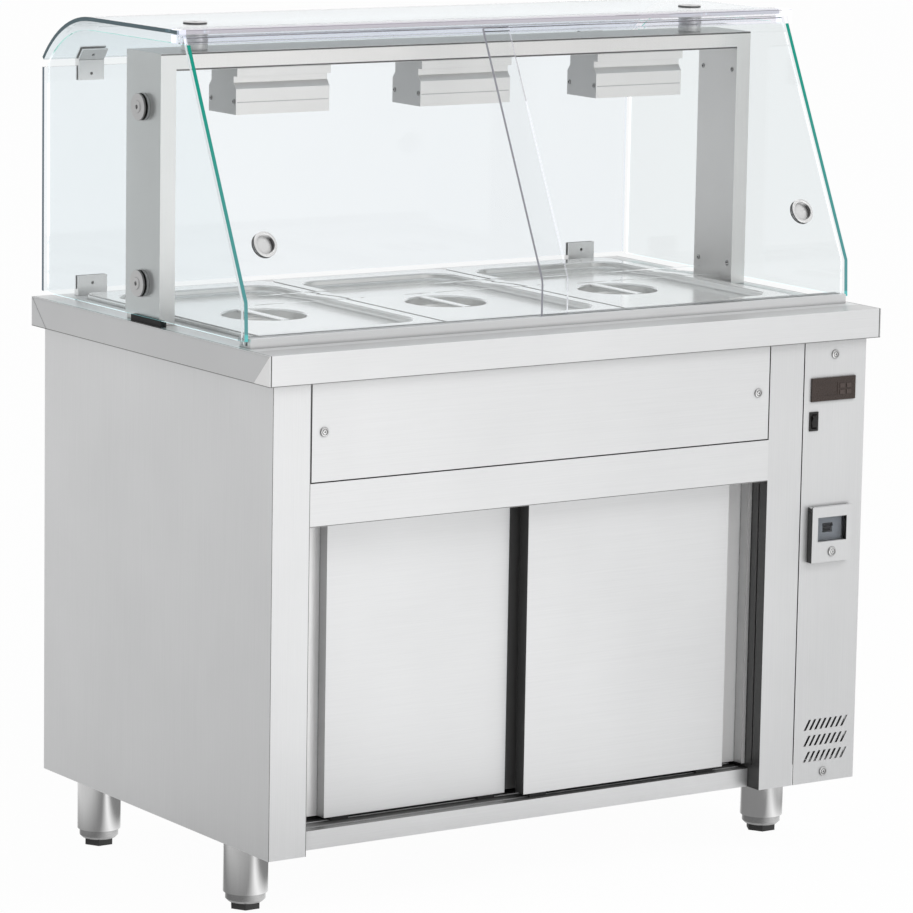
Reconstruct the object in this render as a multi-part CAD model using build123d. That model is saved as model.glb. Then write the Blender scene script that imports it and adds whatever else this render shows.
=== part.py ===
from build123d import *
import os
from math import asin, cos, radians, sin, tan

# A stainless bain marie: a heated wet well with lidded pans, a cupboard with sliding doors under it
# and a lit glass canopy over it. Millimetres. The origin is on the floor under the middle of the counter,
# +X to the operator's right, +Y away from the operator, +Z up.

# Clearances
rest_gap = 0.3
slide_gap = 0.5
trim_gap = 0.6
panel_gap = 2.0
pin_gap = 0.08

# How far a cutter reaches past the surface it starts from
cut_over = 1.0

# Counter top
counter_height = 850.0
counter_sheet = 1.5
apron_height = 45.0
overhang = 15.0
mitre_relief = 0.5

# Cabinet shell
cabinet_base = 110.0
panel_sheet = 1.5
stile_width = 64.0
stile_return = 36.0
stile_slot = 2.5
stile_slot_setback = 18.5
stile_slot_end = 8.0
control_width = 120.0
control_return = 15.0
panel_flange = 18.0
partition_gap = 3.0
channel_width = 115.0

# Access panel, header rail and bottom rail
access_height = 147.0
access_return = 12.0
header_height = 63.5
header_flange = 20.0
rail_height = 28.5
rail_setback = 30.0
rail_flange = 12.0
track_depth = 110.0
track_end = 6.0

# Cupboard doors
door_overlap = 33.6
door_thickness = 22.0
door_sheet = 1.2
door_setback = 37.0
door_spacing = 3.0
door_floor_gap = 7.0
door_header_gap = 4.0
jamb_width = 25.0
grip_lip = 6.4
grip_width = 37.6
grip_depth = 19.5
overlap_recess = 17.4
overlap_step = 17.0
glide_length = 30.0
glide_width = 12.0
tongue_length = 24.0
tongue_width = 4.0
tongue_depth = 8.0

# Pans, lids and the bars between them
pan_length = 530.0
pan_width = 325.0
pan_count = 3
pan_spacing = 1.5
pan_side_land = 62.5
pan_front_land = 119.0
pan_rear_land = 51.0
pan_rim = 12.0
pan_rim_height = 6.0
pan_rim_corner = 22.0
pan_corner = 40.0
pan_depth = 150.0
pan_taper = 3.0
pan_sheet = 1.2
lid_inset = 1.5
lid_sheet = 1.2
lid_border = 22.5
lid_border_end = 43.5
lid_corner = 40.0
lid_recess = 10.0
dish_radius = 62.5
dish_depth = 22.0
bridge_width = 16.0
bridge_thickness = 4.0
bar_width = 16.0
bar_height = 12.0

# Water tank, heater and drain
well_ledge = 9.0
water_depth = 50.0
tank_sheet = 1.5
tank_flange = 18.0
tank_corner = 8.0
ledge_depth = 10.0
ledge_sheet = 3.0
element_radius = 4.5
element_rise = 18.0
element_end_gap = 40.0
element_bends = (60.0, 150.0)
collar_radius = 9.0
collar_length = 8.0
drain_inset = 148.5
drain_setback = 140.0
drain_bore = 13.0
drain_wall = 4.0
spigot_length = 35.0
valve_size = 48.0
valve_height = 50.0
outlet_length = 40.0
boss_radius = 9.0
boss_length = 12.0
stem_radius = 4.0
hub_radius = 12.0
lever_length = 95.0
lever_width = 18.0
lever_thickness = 5.0

# Control column
bezel_width = 84.0
bezel_height = 36.0
bezel_proud = 3.0
controller_x = -3.0
controller_drop = 121.0
bezel_lap_x = 6.5
bezel_lap_z = 3.5
controller_depth = 55.0
display_width = 42.0
display_height = 20.0
display_recess = 0.6
display_x = -14.0
key_width = 9.0
key_height = 7.0
key_proud = 0.8
key_body = 3.0
key_travel = 1.0
key_pitch_x = 13.0
key_pitch_z = 10.2
key_x = 22.5
key_drop = 1.0
rocker_x = -38.5
rocker_drop = 169.8
rocker_frame_lap = 1.95
rocker_frame_proud = 1.5
rocker_wall = 1.5
rocker_width = 9.0
rocker_radius = 11.0
rocker_depth = 3.5
rocker_apex = 6.0
rocker_spread = 40.0
rocker_tilt = 8.0
pivot_radius = 1.5
pivot_length = 1.2
hatch_x = -5.0
hatch_side = 11.0
hatch_over = 16.25
hatch_under = 32.25
hatch_depth = 12.0
hatch_wall = 2.5
hatch_front = 6.0
hatch_screw_radius = 7.0
hatch_screw_head = 2.0
hatch_screw_rise = 16.0
hinge_radius = 4.0
hinge_ear = 5.0
window_width = 55.5
window_height = 38.0
window_drop = 338.0
window_lap = 4.0
window_thickness = 2.5
breaker_lap_x = 5.25
breaker_lap_z = 7.0
breaker_depth = 60.0
toggle_width = 18.0
toggle_barrel = 7.0
toggle_reach = 12.0
toggle_thickness = 5.0
toggle_depth = 9.0
toggle_tilt = 25.0
vent_rows = 3
vent_columns = 8
vent_pitch_x = 10.2
vent_pitch_z = 25.3
vent_width = 4.4
vent_rise = 16.4
vent_lean = 9.6
vent_height = 67.0
vent_x = 1.0

# Screws
screw_radius = 7.0
screw_head = 2.5
screw_shank = 3.0
access_screw_inset = 21.0
control_screw_top = 23.0
control_screw_base = 16.0
small_screw_radius = 3.5
small_screw_head = 1.6
small_screw_shank = 1.8

# Legs
leg_radius = 33.5
leg_wall = 1.5
leg_cap = 3.0
leg_inset = 57.5
leg_front_setback = 157.0
leg_rear_setback = 73.0
leg_bottom = 25.0
leg_lip = 10.0
collar_inset = 3.5
collar_bottom = 10.5
collar_chamfer = 4.0
stem_top = 75.0
stem_wall = 3.0
foot_radius = 24.0

# Canopy frame
post_inset = 15.0
post_width = 26.0
post_depth = 100.0
post_wall = 1.5
post_centre_y = 32.0
canopy_height = 400.0
post_screw_spread = 38.0
post_screw_low = 33.0
post_screw_drop = 60.0

# Heat lamps
lamp_length = 162.5
lamp_offset_y = -3.0
lamp_drop = 69.5
lamp_half = 39.0
lamp_neck = 32.0
lamp_flange = 42.0
lamp_flange_drop = 12.5
lamp_neck_drop = 22.5
lamp_shoulder_drop = 31.5
lamp_wall = 2.0
lamp_plate = 2.0
lamp_tube_radius = 5.0
lamp_tube_drop = 52.0
lamp_cap_radius = 8.0
lamp_cap_length = 12.0
lamp_screw_y = 33.0
lamp_screw_drop = 50.0

# Fixed glass
glass_thickness = 6.0
side_glass_gap = 4.0
side_glass_lift = 10.0
pad_length = 87.0
left_pad_shift = -22.0
right_pad_shift = 12.0
side_glass_drop = 13.5
side_glass_front = 78.0
side_glass_lean = 2.5
bend_height = 66.0
pane_slope = 25.2
top_glass_rise = 33.0
top_glass_inset = 6.5
top_glass_radius = 185.0
top_glass_turn = 52.0
rear_glass_inset = 20.0
rear_glass_lift = 11.0
rear_glass_drop = 13.0
rear_glass_gap = 14.0

# Glass fittings
standoff_radius = 20.0
standoff_cap = 3.5
standoff_boss_radius = 9.0
standoff_boss = 1.5
bolt_radius = 5.0
standoff_low = 58.0
standoff_drop = 81.0
top_standoff_inset = 98.5
top_standoff_radius = 18.0
top_cap = 2.0
bracket_wall = 2.5
bracket_inset = 90.0
bracket_width = 44.0
bracket_drop = 22.0
bracket_rise = 8.5
bracket_lap = 21.0
bracket_root = 6.0
bracket_hole_rise = 10.0
bracket_hole_reach = 10.0
clip_inset = 93.5
clip_width = 51.0
clip_height = 31.0
clip_hole = 2.4
clip_hole_drop = 12.0

# Sliding panes and their rails
pane_thickness = 5.0
pane_pitch = 11.0
pane_setback = 4.0
pane_lap = 26.0
pane_end_gap = 3.0
pane_bend_radius = 30.0
sill_lip_front = 11.5
sill_lip_rear = 7.5
sill_height = 14.0
sill_floor = 3.0
sill_end_gap = 1.0
top_rail_wall = 4.0
top_rail_depth = 42.0
top_rail_drop = 13.0
top_rail_cover = 2.5
top_rail_overrun = 3.0
groove_depth = 12.0
groove_clearance = 3.0
glass_slot_depth = 16.0
cup_bore = 14.2
cup_wall = 1.5
cup_lip = 3.8
cup_flange = 2.0
cup_floor = 1.5
cup_inset = 54.0
cup_height = 140.0

# Cable gland
gland_rise = 61.5
gland_radius = 13.0
gland_bore = 5.5
gland_wall = 2.5
gland_outside = 14.0
gland_nut = 6.0

# Places that follow from the sizes above
top = counter_height
under = top - counter_sheet
apron_bottom = top - apron_height
half_width = pan_count * pan_width / 2 + pan_side_land
half_depth = (pan_front_land + pan_length + pan_rear_land) / 2
pan_centre_y = (pan_front_land - pan_rear_land) / 2
cabinet_x = half_width - overhang
front = overhang - half_depth
rear = half_depth - overhang
floor_top = cabinet_base + rail_height
opening_left = stile_width - cabinet_x
control_left = cabinet_x - control_width
opening_right = control_left - stile_width
header_top = apron_bottom - access_height
header_bottom = header_top - header_height
track_back = front + track_depth
right_door_face = front + door_setback
left_door_face = right_door_face + door_thickness + door_spacing
door_width = (opening_right - opening_left - jamb_width - trim_gap + door_overlap) / 2
right_door_left = opening_right - trim_gap - door_width
left_door_left = opening_left + jamb_width
door_bottom = floor_top + door_floor_gap
door_top = header_bottom - door_header_gap
well_width = pan_count * pan_width - 2 * well_ledge
well_length = pan_length - 2 * well_ledge
well_front = pan_centre_y - well_length / 2
well_rear = pan_centre_y + well_length / 2
tank_bottom = top - pan_depth - water_depth
drain_x = drain_inset - well_width / 2
drain_y = well_rear - drain_setback
pan_rim_top = top + rest_gap + pan_rim_height
pan_places = [pan_width * (k - (pan_count - 1) / 2) for k in range(pan_count)]
bar_places = [pan_width * (k - (pan_count - 2) / 2) for k in range(pan_count - 1)]
lid_top = pan_rim_top + rest_gap + lid_sheet
control_x = control_left + control_width / 2
gland_z = floor_top + gland_rise
gland_thread = gland_bore + gland_wall
hatch_centre_x = control_x + hatch_x
window_z = top - window_drop
hatch_width = window_width + 2 * hatch_side
hatch_top = window_z + window_height / 2 + hatch_over
hatch_bottom = window_z - window_height / 2 - hatch_under
controller_width = bezel_width - 2 * bezel_lap_x
controller_height = bezel_height - 2 * bezel_lap_z
hinge_y = front - rest_gap - hinge_radius
hinge_z = hatch_top - hinge_radius
rocker_body_width = rocker_width + 2 * rest_gap + 2 * rocker_wall
rocker_body_height = 2 * (rocker_radius + rest_gap + rocker_wall)
rocker_place = (control_x + rocker_x, front + rocker_depth, top - rocker_drop)
toggle_place = (hatch_centre_x, front + panel_sheet + toggle_depth, window_z)
leg_lines = (front + leg_front_setback, rear - leg_rear_setback)
leg_places = [(side * (cabinet_x - leg_inset), y) for y in leg_lines for side in (-1, 1)]
collar_foot_radius = leg_radius - collar_inset
post_outer = half_width - post_inset
post_inner = post_outer - post_width
beam_top = top + canopy_height
beam_under = beam_top - post_width
lamp_y = post_centre_y + lamp_offset_y
glass_inner = post_outer + side_glass_gap
glass_outer = glass_inner + glass_thickness
top_glass_under = beam_top + top_glass_rise
top_glass_top = top_glass_under + glass_thickness
rear_glass_back = half_depth - rear_glass_inset
rear_glass_face = rear_glass_back - glass_thickness
arc_y = rear_glass_back - top_glass_radius * sin(radians(top_glass_turn))
arc_z = top_glass_top - top_glass_radius
arc_middle = top_glass_radius - glass_thickness / 2
arc_end_z = arc_z + arc_middle * cos(radians(top_glass_turn))
rear_glass_top = arc_end_z - rear_glass_drop
top_standoff_x = half_width - top_standoff_inset
bend_z = top + bend_height
front_pane_y = side_glass_front + side_glass_lean + pane_setback - half_depth
rear_pane_y = front_pane_y + pane_pitch
pane_width = glass_inner - pane_end_gap + pane_lap
pane_reach = pane_thickness / 2 + slide_gap
cup_barrel = cup_bore + cup_wall
cup_radius = cup_barrel + cup_lip
rail_under = top_glass_under - top_rail_drop
rail_over = top_glass_top + top_rail_cover
sill_slot_floor = top + sill_floor


def pane_line(base_y, z):
    """Y of a pane's middle line at a height over the bend."""
    return base_y + (z - bend_z) * tan(radians(pane_slope))


rail_front = pane_line(front_pane_y, rail_under) - pane_reach / cos(radians(pane_slope)) - top_rail_wall
rail_rear = rail_front + top_rail_depth
top_glass_front = rail_rear - glass_slot_depth + slide_gap


# Shape helpers
def box(x0, x1, y0, y1, z0, z1):
    """Box between two opposite corners."""
    place = Pos((x0 + x1) / 2, (y0 + y1) / 2, (z0 + z1) / 2)
    return place * Box(abs(x1 - x0), abs(y1 - y0), abs(z1 - z0))


def rod(start, axis, radius, length):
    """Cylinder from a point along an axis."""
    return extrude(Plane(origin=start, z_dir=axis) * Circle(radius), amount=length)


def slab(x, y, width, length, corner, z0, z1):
    """Upright block with rounded corners."""
    return extrude(Pos(x, y, z0) * RectangleRounded(width, length, corner), amount=z1 - z0)


def across(face, x0, x1):
    """Block along X with a given outline in Y and Z."""
    return extrude(Plane.YZ.offset(x0) * face, amount=x1 - x0)


def outline(*points):
    """Face inside a closed line."""
    return make_face(Polyline(*points, close=True))


def bent_strip(start, heading, runs, thickness):
    """Face of a strip about a middle line of straight runs (a length) and bends (a radius and a turn)."""
    sides = {thickness / 2: [], -thickness / 2: []}
    point = Vector(*start)
    for run in runs:
        along = Vector(cos(radians(heading)), sin(radians(heading)))
        normal = Vector(-along.Y, along.X)
        if isinstance(run, tuple):
            radius, turn = run
            way = 1 if turn > 0 else -1
            centre = point + normal * (way * radius)
            spokes = [radians(heading + turn * share - way * 90) for share in (0, 0.5, 1)]
            rays = [Vector(cos(spoke), sin(spoke)) for spoke in spokes]
            for offset, edges in sides.items():
                edges.append(ThreePointArc(*[centre + ray * (radius - way * offset) for ray in rays]))
            point = centre + rays[-1] * radius
            heading += turn
        else:
            for offset, edges in sides.items():
                edges.append(Line(point + normal * offset, point + along * run + normal * offset))
            point = point + along * run
    left, right = sides.values()
    caps = [Line(left[0] @ 0, right[0] @ 0), Line(left[-1] @ 1, right[-1] @ 1)]
    return make_face(left + right + caps)


def screw(start, axis, radius, head, shank, depth):
    """Screw with its head on a surface and its shank in the hole under it."""
    inward = Vector(*axis) * -1
    return rod(start, axis, radius, head) + rod(start, inward, shank, depth)


def clear_hole(start, axis, radius, depth):
    """Cutter for a hole that starts just outside a surface and goes in against the axis."""
    outward = Vector(*axis)
    return rod(Vector(*start) + outward * cut_over, outward * -1, radius, depth + cut_over)


# Counter, tank and drain
def make_counter_top():
    tray = box(-half_width, half_width, -half_depth, half_depth, apron_bottom, top)
    tray -= box(counter_sheet - half_width, half_width - counter_sheet, counter_sheet - half_depth,
                half_depth - counter_sheet, apron_bottom + counter_sheet, under)
    tray -= box(-cabinet_x, cabinet_x, front, rear, apron_bottom, under)
    tray -= slab(0, pan_centre_y, well_width, well_length, tank_corner, apron_bottom, top + cut_over)
    long = half_depth - counter_sheet
    short = half_depth - apron_height
    ear = outline((-long, under), (long, under), (short, apron_bottom), (-short, apron_bottom))
    tray -= across(ear, -half_width, mitre_relief - half_width)
    tray -= across(ear, half_width - mitre_relief, half_width)
    return tray


def make_water_tank():
    tank = slab(0, pan_centre_y, well_width + 2 * tank_sheet, well_length + 2 * tank_sheet,
                tank_corner + tank_sheet, tank_bottom, under)
    tank += slab(0, pan_centre_y, well_width + 2 * tank_flange, well_length + 2 * tank_flange,
                 tank_corner + tank_flange, under - tank_sheet, under)
    tank -= slab(0, pan_centre_y, well_width, well_length, tank_corner, tank_bottom + tank_sheet, top)
    bar_bottom = top - bar_height
    for x in bar_places:
        for wall, inward in ((well_front, 1), (well_rear, -1)):
            tank += box(x - bar_width / 2, x + bar_width / 2, wall, wall + inward * ledge_depth,
                        bar_bottom - ledge_sheet, bar_bottom)
    return tank - clear_hole((drain_x, drain_y, tank_bottom), (0, 0, -1), drain_bore, 2 * tank_sheet)


def make_pan_bars():
    return [box(x - bar_width / 2, x + bar_width / 2, well_front + trim_gap, well_rear - trim_gap,
                top - bar_height, top) for x in bar_places]


def make_heating_element():
    z = tank_bottom + tank_sheet + element_rise
    wall_x = well_width / 2
    turn_x = element_end_gap + max(element_bends) - well_width / 2
    hairpins = []
    for bend in element_bends:
        near = pan_centre_y - bend
        far = pan_centre_y + bend
        path = Line((wall_x, near, z), (turn_x, near, z))
        path += ThreePointArc((turn_x, near, z), (turn_x - bend, pan_centre_y, z), (turn_x, far, z))
        path += Line((turn_x, far, z), (wall_x, far, z))
        tube = sweep(Plane(origin=(wall_x, near, z), z_dir=(-1, 0, 0)) * Circle(element_radius), path=path)
        for y in (near, far):
            tube += rod((wall_x, y, z), (-1, 0, 0), collar_radius, collar_length)
        hairpins.append(tube)
    return hairpins


def make_drain_valve():
    body_top = tank_bottom - spigot_length
    body_bottom = body_top - valve_height
    stem_z = (body_top + body_bottom) / 2
    half = valve_size / 2
    length = spigot_length + valve_height + outlet_length
    valve = box(drain_x - half, drain_x + half, drain_y - half, drain_y + half, body_bottom, body_top)
    valve += rod((drain_x, drain_y, tank_bottom), (0, 0, -1), drain_bore + drain_wall, length)
    valve += rod((drain_x, drain_y - half, stem_z), (0, -1, 0), boss_radius, boss_length)
    valve -= rod((drain_x, drain_y, tank_bottom), (0, 0, -1), drain_bore, length)
    return valve - rod((drain_x, drain_y - half - boss_length, stem_z), (0, 1, 0), stem_radius, boss_length)


def make_drain_lever():
    stem_z = tank_bottom - spigot_length - valve_height / 2
    hub_y = drain_y - valve_size / 2 - boss_length - rest_gap
    hub_face = hub_y - lever_thickness
    lever = rod((drain_x, hub_y, stem_z), (0, -1, 0), hub_radius, lever_thickness)
    half = lever_width / 2
    lever += box(drain_x, drain_x + lever_length, hub_face, hub_y, stem_z - half, stem_z + half)
    return lever + rod((drain_x, hub_y, stem_z), (0, 1, 0), stem_radius - pin_gap, boss_length)


# Pans and lids
def make_pan(x):
    width = pan_width - pan_spacing
    base = top + rest_gap
    pan = slab(x, pan_centre_y, width, pan_length, pan_rim_corner, base, pan_rim_top)
    pan -= slab(x, pan_centre_y, width - 2 * pan_sheet, pan_length - 2 * pan_sheet,
                pan_rim_corner - pan_sheet, base, pan_rim_top - pan_sheet)
    mouth = Pos(x, pan_centre_y, pan_rim_top)
    wide = width - 2 * pan_rim
    long = pan_length - 2 * pan_rim
    outside = mouth * RectangleRounded(wide, long, pan_corner)
    inside = mouth * RectangleRounded(wide - 2 * pan_sheet, long - 2 * pan_sheet, pan_corner - pan_sheet)
    pan += extrude(outside, amount=-pan_depth, taper=pan_taper)
    return pan - extrude(inside, amount=pan_sheet - pan_depth, taper=pan_taper)


def make_lid(x):
    width = pan_width - pan_spacing - 2 * lid_inset
    length = pan_length - 2 * lid_inset
    panel_width = width - 2 * lid_border
    panel_length = length - 2 * lid_border_end
    floor = lid_top - lid_recess
    lid = slab(x, pan_centre_y, width, length, pan_rim_corner - lid_inset, lid_top - lid_sheet, lid_top)
    lid += slab(x, pan_centre_y, panel_width + 2 * lid_sheet, panel_length + 2 * lid_sheet,
                lid_corner + lid_sheet, floor - lid_sheet, lid_top)
    lid += rod((x, pan_centre_y, floor), (0, 0, -1), dish_radius + lid_sheet, dish_depth + lid_sheet)
    lid -= slab(x, pan_centre_y, panel_width, panel_length, lid_corner, floor, lid_top)
    lid -= rod((x, pan_centre_y, floor), (0, 0, -1), dish_radius, dish_depth)
    bridge = box(x - bridge_width / 2, x + bridge_width / 2, pan_centre_y - dish_radius,
                 pan_centre_y + dish_radius, floor - bridge_thickness, floor)
    return lid + (bridge & rod((x, pan_centre_y, floor), (0, 0, -1), dish_radius + lid_sheet, dish_depth))


# Cabinet shell
def stile_slot_cut(wall_x):
    """Narrow upright gap in a stile's fold beside the doors."""
    y = front + stile_slot_setback
    return box(wall_x - panel_sheet, wall_x + panel_sheet, y, y + stile_slot,
               floor_top + stile_slot_end, header_bottom - stile_slot_end)


def make_left_side_panel():
    jamb_y = left_door_face + door_thickness / 2
    panel = box(-cabinet_x, panel_sheet - cabinet_x, front, rear - panel_sheet, cabinet_base, under)
    panel += box(-cabinet_x, opening_left, front, front + panel_sheet, cabinet_base, under)
    panel += box(opening_left - panel_sheet, opening_left, front, front + stile_return, cabinet_base, under)
    panel += box(opening_left - panel_sheet, opening_left, front, jamb_y, floor_top, header_bottom)
    panel += box(opening_left - panel_sheet, left_door_left - trim_gap, jamb_y - panel_sheet, jamb_y,
                 floor_top, header_bottom)
    return panel - stile_slot_cut(opening_left)


def make_right_side_panel():
    inner = cabinet_x - panel_sheet
    start = front + panel_sheet
    panel = box(inner, cabinet_x, start, rear - panel_sheet, cabinet_base, under)
    return panel + box(inner - panel_flange, inner, start, start + panel_sheet, floor_top, apron_bottom)


def make_back_panel():
    panel = box(-cabinet_x, cabinet_x, rear - panel_sheet, rear, cabinet_base, under)
    return panel - clear_hole((control_x, rear, gland_z), (0, 1, 0),
                              gland_thread + pin_gap, 2 * panel_sheet)


def make_cabinet_floor():
    inner = cabinet_x - panel_sheet
    back = rear - panel_sheet
    plate = box(-inner, inner, track_back, back, floor_top - panel_sheet, floor_top)
    plate += box(opening_right + panel_sheet, inner, front + stile_return, track_back,
                 floor_top - panel_sheet, floor_top)
    for side in (-1, 1):
        outer_x = side * inner
        inner_x = side * (inner - channel_width)
        wall = side * panel_sheet
        plate += box(inner_x, outer_x, track_back, back, cabinet_base, floor_top)
        plate -= box(inner_x + wall, outer_x - wall, track_back, back,
                     cabinet_base + panel_sheet, floor_top - panel_sheet)
    return plate


def make_partition():
    wall = opening_right + panel_sheet
    sheet = box(opening_right, control_left, front, front + panel_sheet, cabinet_base, under)
    sheet += box(opening_right, wall, front, front + stile_return, cabinet_base, under)
    sheet += box(opening_right, wall, front, rear - panel_sheet, floor_top, tank_bottom - partition_gap)
    sheet += box(control_left - panel_sheet, control_left, front, front + control_return,
                 cabinet_base, under)
    return sheet - stile_slot_cut(opening_right + panel_sheet / 2)


def track_slots(z):
    """Cutters for the two grooves that the door glides run in."""
    half = tongue_width / 2 + slide_gap
    middles = [face + door_thickness / 2 for face in (right_door_face, left_door_face)]
    return [box(opening_left + track_end, opening_right - track_end, y - half, y + half,
                z - 2 * panel_sheet, z + 2 * panel_sheet) for y in middles]


def make_header_rail():
    rail = box(opening_left, opening_right, front, front + panel_sheet, header_bottom, header_top)
    rail += box(opening_left, opening_right, front, track_back, header_bottom, header_bottom + panel_sheet)
    rail += box(opening_left, opening_right, front, front + header_flange,
                header_top - panel_sheet, header_top)
    rail += box(opening_left, opening_right, track_back - panel_sheet, track_back,
                header_bottom, header_bottom + header_flange)
    return rail - track_slots(header_bottom)


def make_bottom_rail():
    start = front + rail_setback
    rail = box(opening_left, opening_right, start, start + panel_sheet, cabinet_base, floor_top)
    rail += box(opening_left, opening_right, start, track_back, floor_top - panel_sheet, floor_top)
    rail += box(opening_left, opening_right, track_back - panel_sheet, track_back,
                floor_top - rail_flange, floor_top)
    return rail - track_slots(floor_top)


def make_access_panel():
    left = opening_left + panel_gap
    right = opening_right - panel_gap
    low = header_top + panel_gap
    high = apron_bottom - trim_gap
    panel = box(left, right, front, front + access_return, low, high)
    panel -= box(left + panel_sheet, right - panel_sheet, front + panel_sheet, front + access_return,
                 low + panel_sheet, high - panel_sheet)
    for place in access_screw_places():
        panel -= clear_hole(place, (0, -1, 0), screw_shank + pin_gap, 2 * panel_sheet)
    return panel


def access_screw_places():
    """Where the access panel is screwed on, at half its height near both ends."""
    z = (header_top + apron_bottom) / 2
    return [(x, front, z) for x in (opening_left + access_screw_inset, opening_right - access_screw_inset)]


def control_screw_places():
    """Where the control panel is screwed on, near its top and its base."""
    heights = (apron_bottom - control_screw_top, cabinet_base + control_screw_base)
    return [(control_x, front, z) for z in heights]


# Cupboard doors
def door_strip(left_edge, grip_side, u0, u1):
    """X of two lines across a door, counted from the edge that has the grip."""
    edge = left_edge if grip_side < 0 else left_edge + door_width
    return sorted((edge - grip_side * u0, edge - grip_side * u1))


def make_door(left_edge, face, grip_side, lap):
    """Folded door, open at the back, with a grip channel at one edge and a stepped lap at the other."""
    back = face + door_thickness
    channel = grip_lip + grip_width
    door = box(left_edge, left_edge + door_width, face, back, door_bottom, door_top)
    hollow = door_strip(left_edge, grip_side, channel + door_sheet, door_width - lap - door_sheet)
    door -= box(*hollow, face + door_sheet, back, door_bottom + door_sheet, door_top - door_sheet)
    grip = door_strip(left_edge, grip_side, grip_lip, channel)
    door -= box(*grip, face, face + grip_depth, door_bottom, door_top)
    if lap:
        step = door_strip(left_edge, grip_side, door_width - lap, door_width)
        behind = door_strip(left_edge, grip_side, door_width - lap, door_width - door_sheet)
        door -= box(*step, face, face + overlap_step, door_bottom, door_top)
        door -= box(*behind, face + overlap_step + door_sheet, back,
                    door_bottom + door_sheet, door_top - door_sheet)
    return door


def make_door_glides(left_edge, face, grip_side, lap):
    """Nylon blocks with tongues that keep a door in its grooves."""
    y = face + door_thickness / 2
    glides = []
    for u in (grip_lip + grip_width + glide_length, door_width - lap - glide_length):
        block = door_strip(left_edge, grip_side, u - glide_length / 2, u + glide_length / 2)
        tongue = door_strip(left_edge, grip_side, u - tongue_length / 2, u + tongue_length / 2)
        for edge, seat, tip in ((door_bottom, floor_top + rest_gap, floor_top - tongue_depth),
                                (door_top, header_bottom - rest_gap, header_bottom + tongue_depth)):
            glide = box(*block, y - glide_width / 2, y + glide_width / 2, edge, seat)
            glides.append(glide + box(*tongue, y - tongue_width / 2, y + tongue_width / 2, edge, tip))
    return glides


# Control column
def centred(x, z, width, height, y0, y1):
    """Box about a point of the front face."""
    return box(x - width / 2, x + width / 2, y0, y1, z - height / 2, z + height / 2)


def hinge_ears(radius):
    """Discs about the hatch's hinge line, one at each top corner."""
    left = hatch_centre_x - hatch_width / 2
    right = hatch_centre_x + hatch_width / 2 - hinge_ear
    return [rod((x, hinge_y, hinge_z), (1, 0, 0), radius, hinge_ear) for x in (left, right)]


def make_control_panel():
    left = control_left + panel_gap
    high = apron_bottom - trim_gap
    panel = box(left, cabinet_x, front, front + panel_sheet, cabinet_base, high)
    panel -= centred(control_x + controller_x, top - controller_drop, controller_width + 2 * trim_gap,
                     controller_height + 2 * trim_gap, front, front + panel_sheet)
    panel -= centred(rocker_place[0], rocker_place[2], rocker_body_width + 2 * trim_gap,
                     rocker_body_height + 2 * trim_gap, front, front + panel_sheet)
    panel -= centred(hatch_centre_x, window_z, window_width, window_height, front, front + panel_sheet)
    for place in control_screw_places():
        panel -= clear_hole(place, (0, -1, 0), screw_shank + pin_gap, 2 * panel_sheet)
    panel -= vent_slots()
    ear_radius = hinge_radius - rest_gap
    for ear, hole in zip(hinge_ears(ear_radius), hinge_ears(pivot_radius + pin_gap)):
        x = ear.center().X
        root = box(x - hinge_ear / 2, x + hinge_ear / 2, hinge_y, front,
                   hinge_z - ear_radius, hinge_z + ear_radius)
        panel += root + ear - hole
    return panel


def vent_slots():
    """Cutters for the slanted ventilation slots."""
    first = control_x + vent_x - (vent_columns - 1) * vent_pitch_x / 2
    slots = []
    for row in range(vent_rows):
        for column in range(vent_columns):
            x = first + column * vent_pitch_x
            z = cabinet_base + vent_height + (row - (vent_rows - 1) / 2) * vent_pitch_z - vent_rise / 2
            low = x - vent_lean / 2
            high = x + vent_lean / 2
            slant = outline((low, z), (low + vent_width, z),
                            (high + vent_width, z + vent_rise), (high, z + vent_rise))
            slots.append(extrude(Plane.XZ.offset(-front) * slant, amount=2 * panel_sheet, both=True))
    return slots


def make_controller():
    x = control_x + controller_x
    z = top - controller_drop
    face = front - bezel_proud
    body = centred(x, z, bezel_width, bezel_height, face, front)
    body += centred(x, z, controller_width, controller_height, front, front + controller_depth)
    body -= centred(x + display_x, z, display_width, display_height, face, face + display_recess)
    for kx, kz in key_places():
        body -= centred(kx, kz, key_width + 2 * rest_gap, key_height + 2 * rest_gap, face,
                        face + key_body + key_travel + rest_gap)
    return body


def key_places():
    """Middles of the four keys, row by row from the top left."""
    x = control_x + controller_x + key_x
    z = top - controller_drop - key_drop
    return [(x + i * key_pitch_x / 2, z + j * key_pitch_z / 2) for j in (1, -1) for i in (-1, 1)]


def make_key(x, z):
    face = front - bezel_proud
    return centred(x, z, key_width, key_height, face - key_proud, face + key_body)


def make_rocker_housing():
    x, y, z = rocker_place
    pocket_back = y + rocker_radius + rest_gap
    housing = centred(x, z, rocker_body_width + 2 * rocker_frame_lap,
                      rocker_body_height + 2 * rocker_frame_lap, front - rocker_frame_proud, front)
    housing += centred(x, z, rocker_body_width, rocker_body_height, front, pocket_back + rocker_wall)
    housing -= centred(x, z, rocker_width + 2 * rest_gap, 2 * (rocker_radius + rest_gap),
                       front - rocker_frame_proud, pocket_back)
    reach = rocker_width / 2 + rest_gap + pivot_length
    return housing - rod((x - reach, y, z), (1, 0, 0), pivot_radius + pin_gap, 2 * reach)


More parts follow.
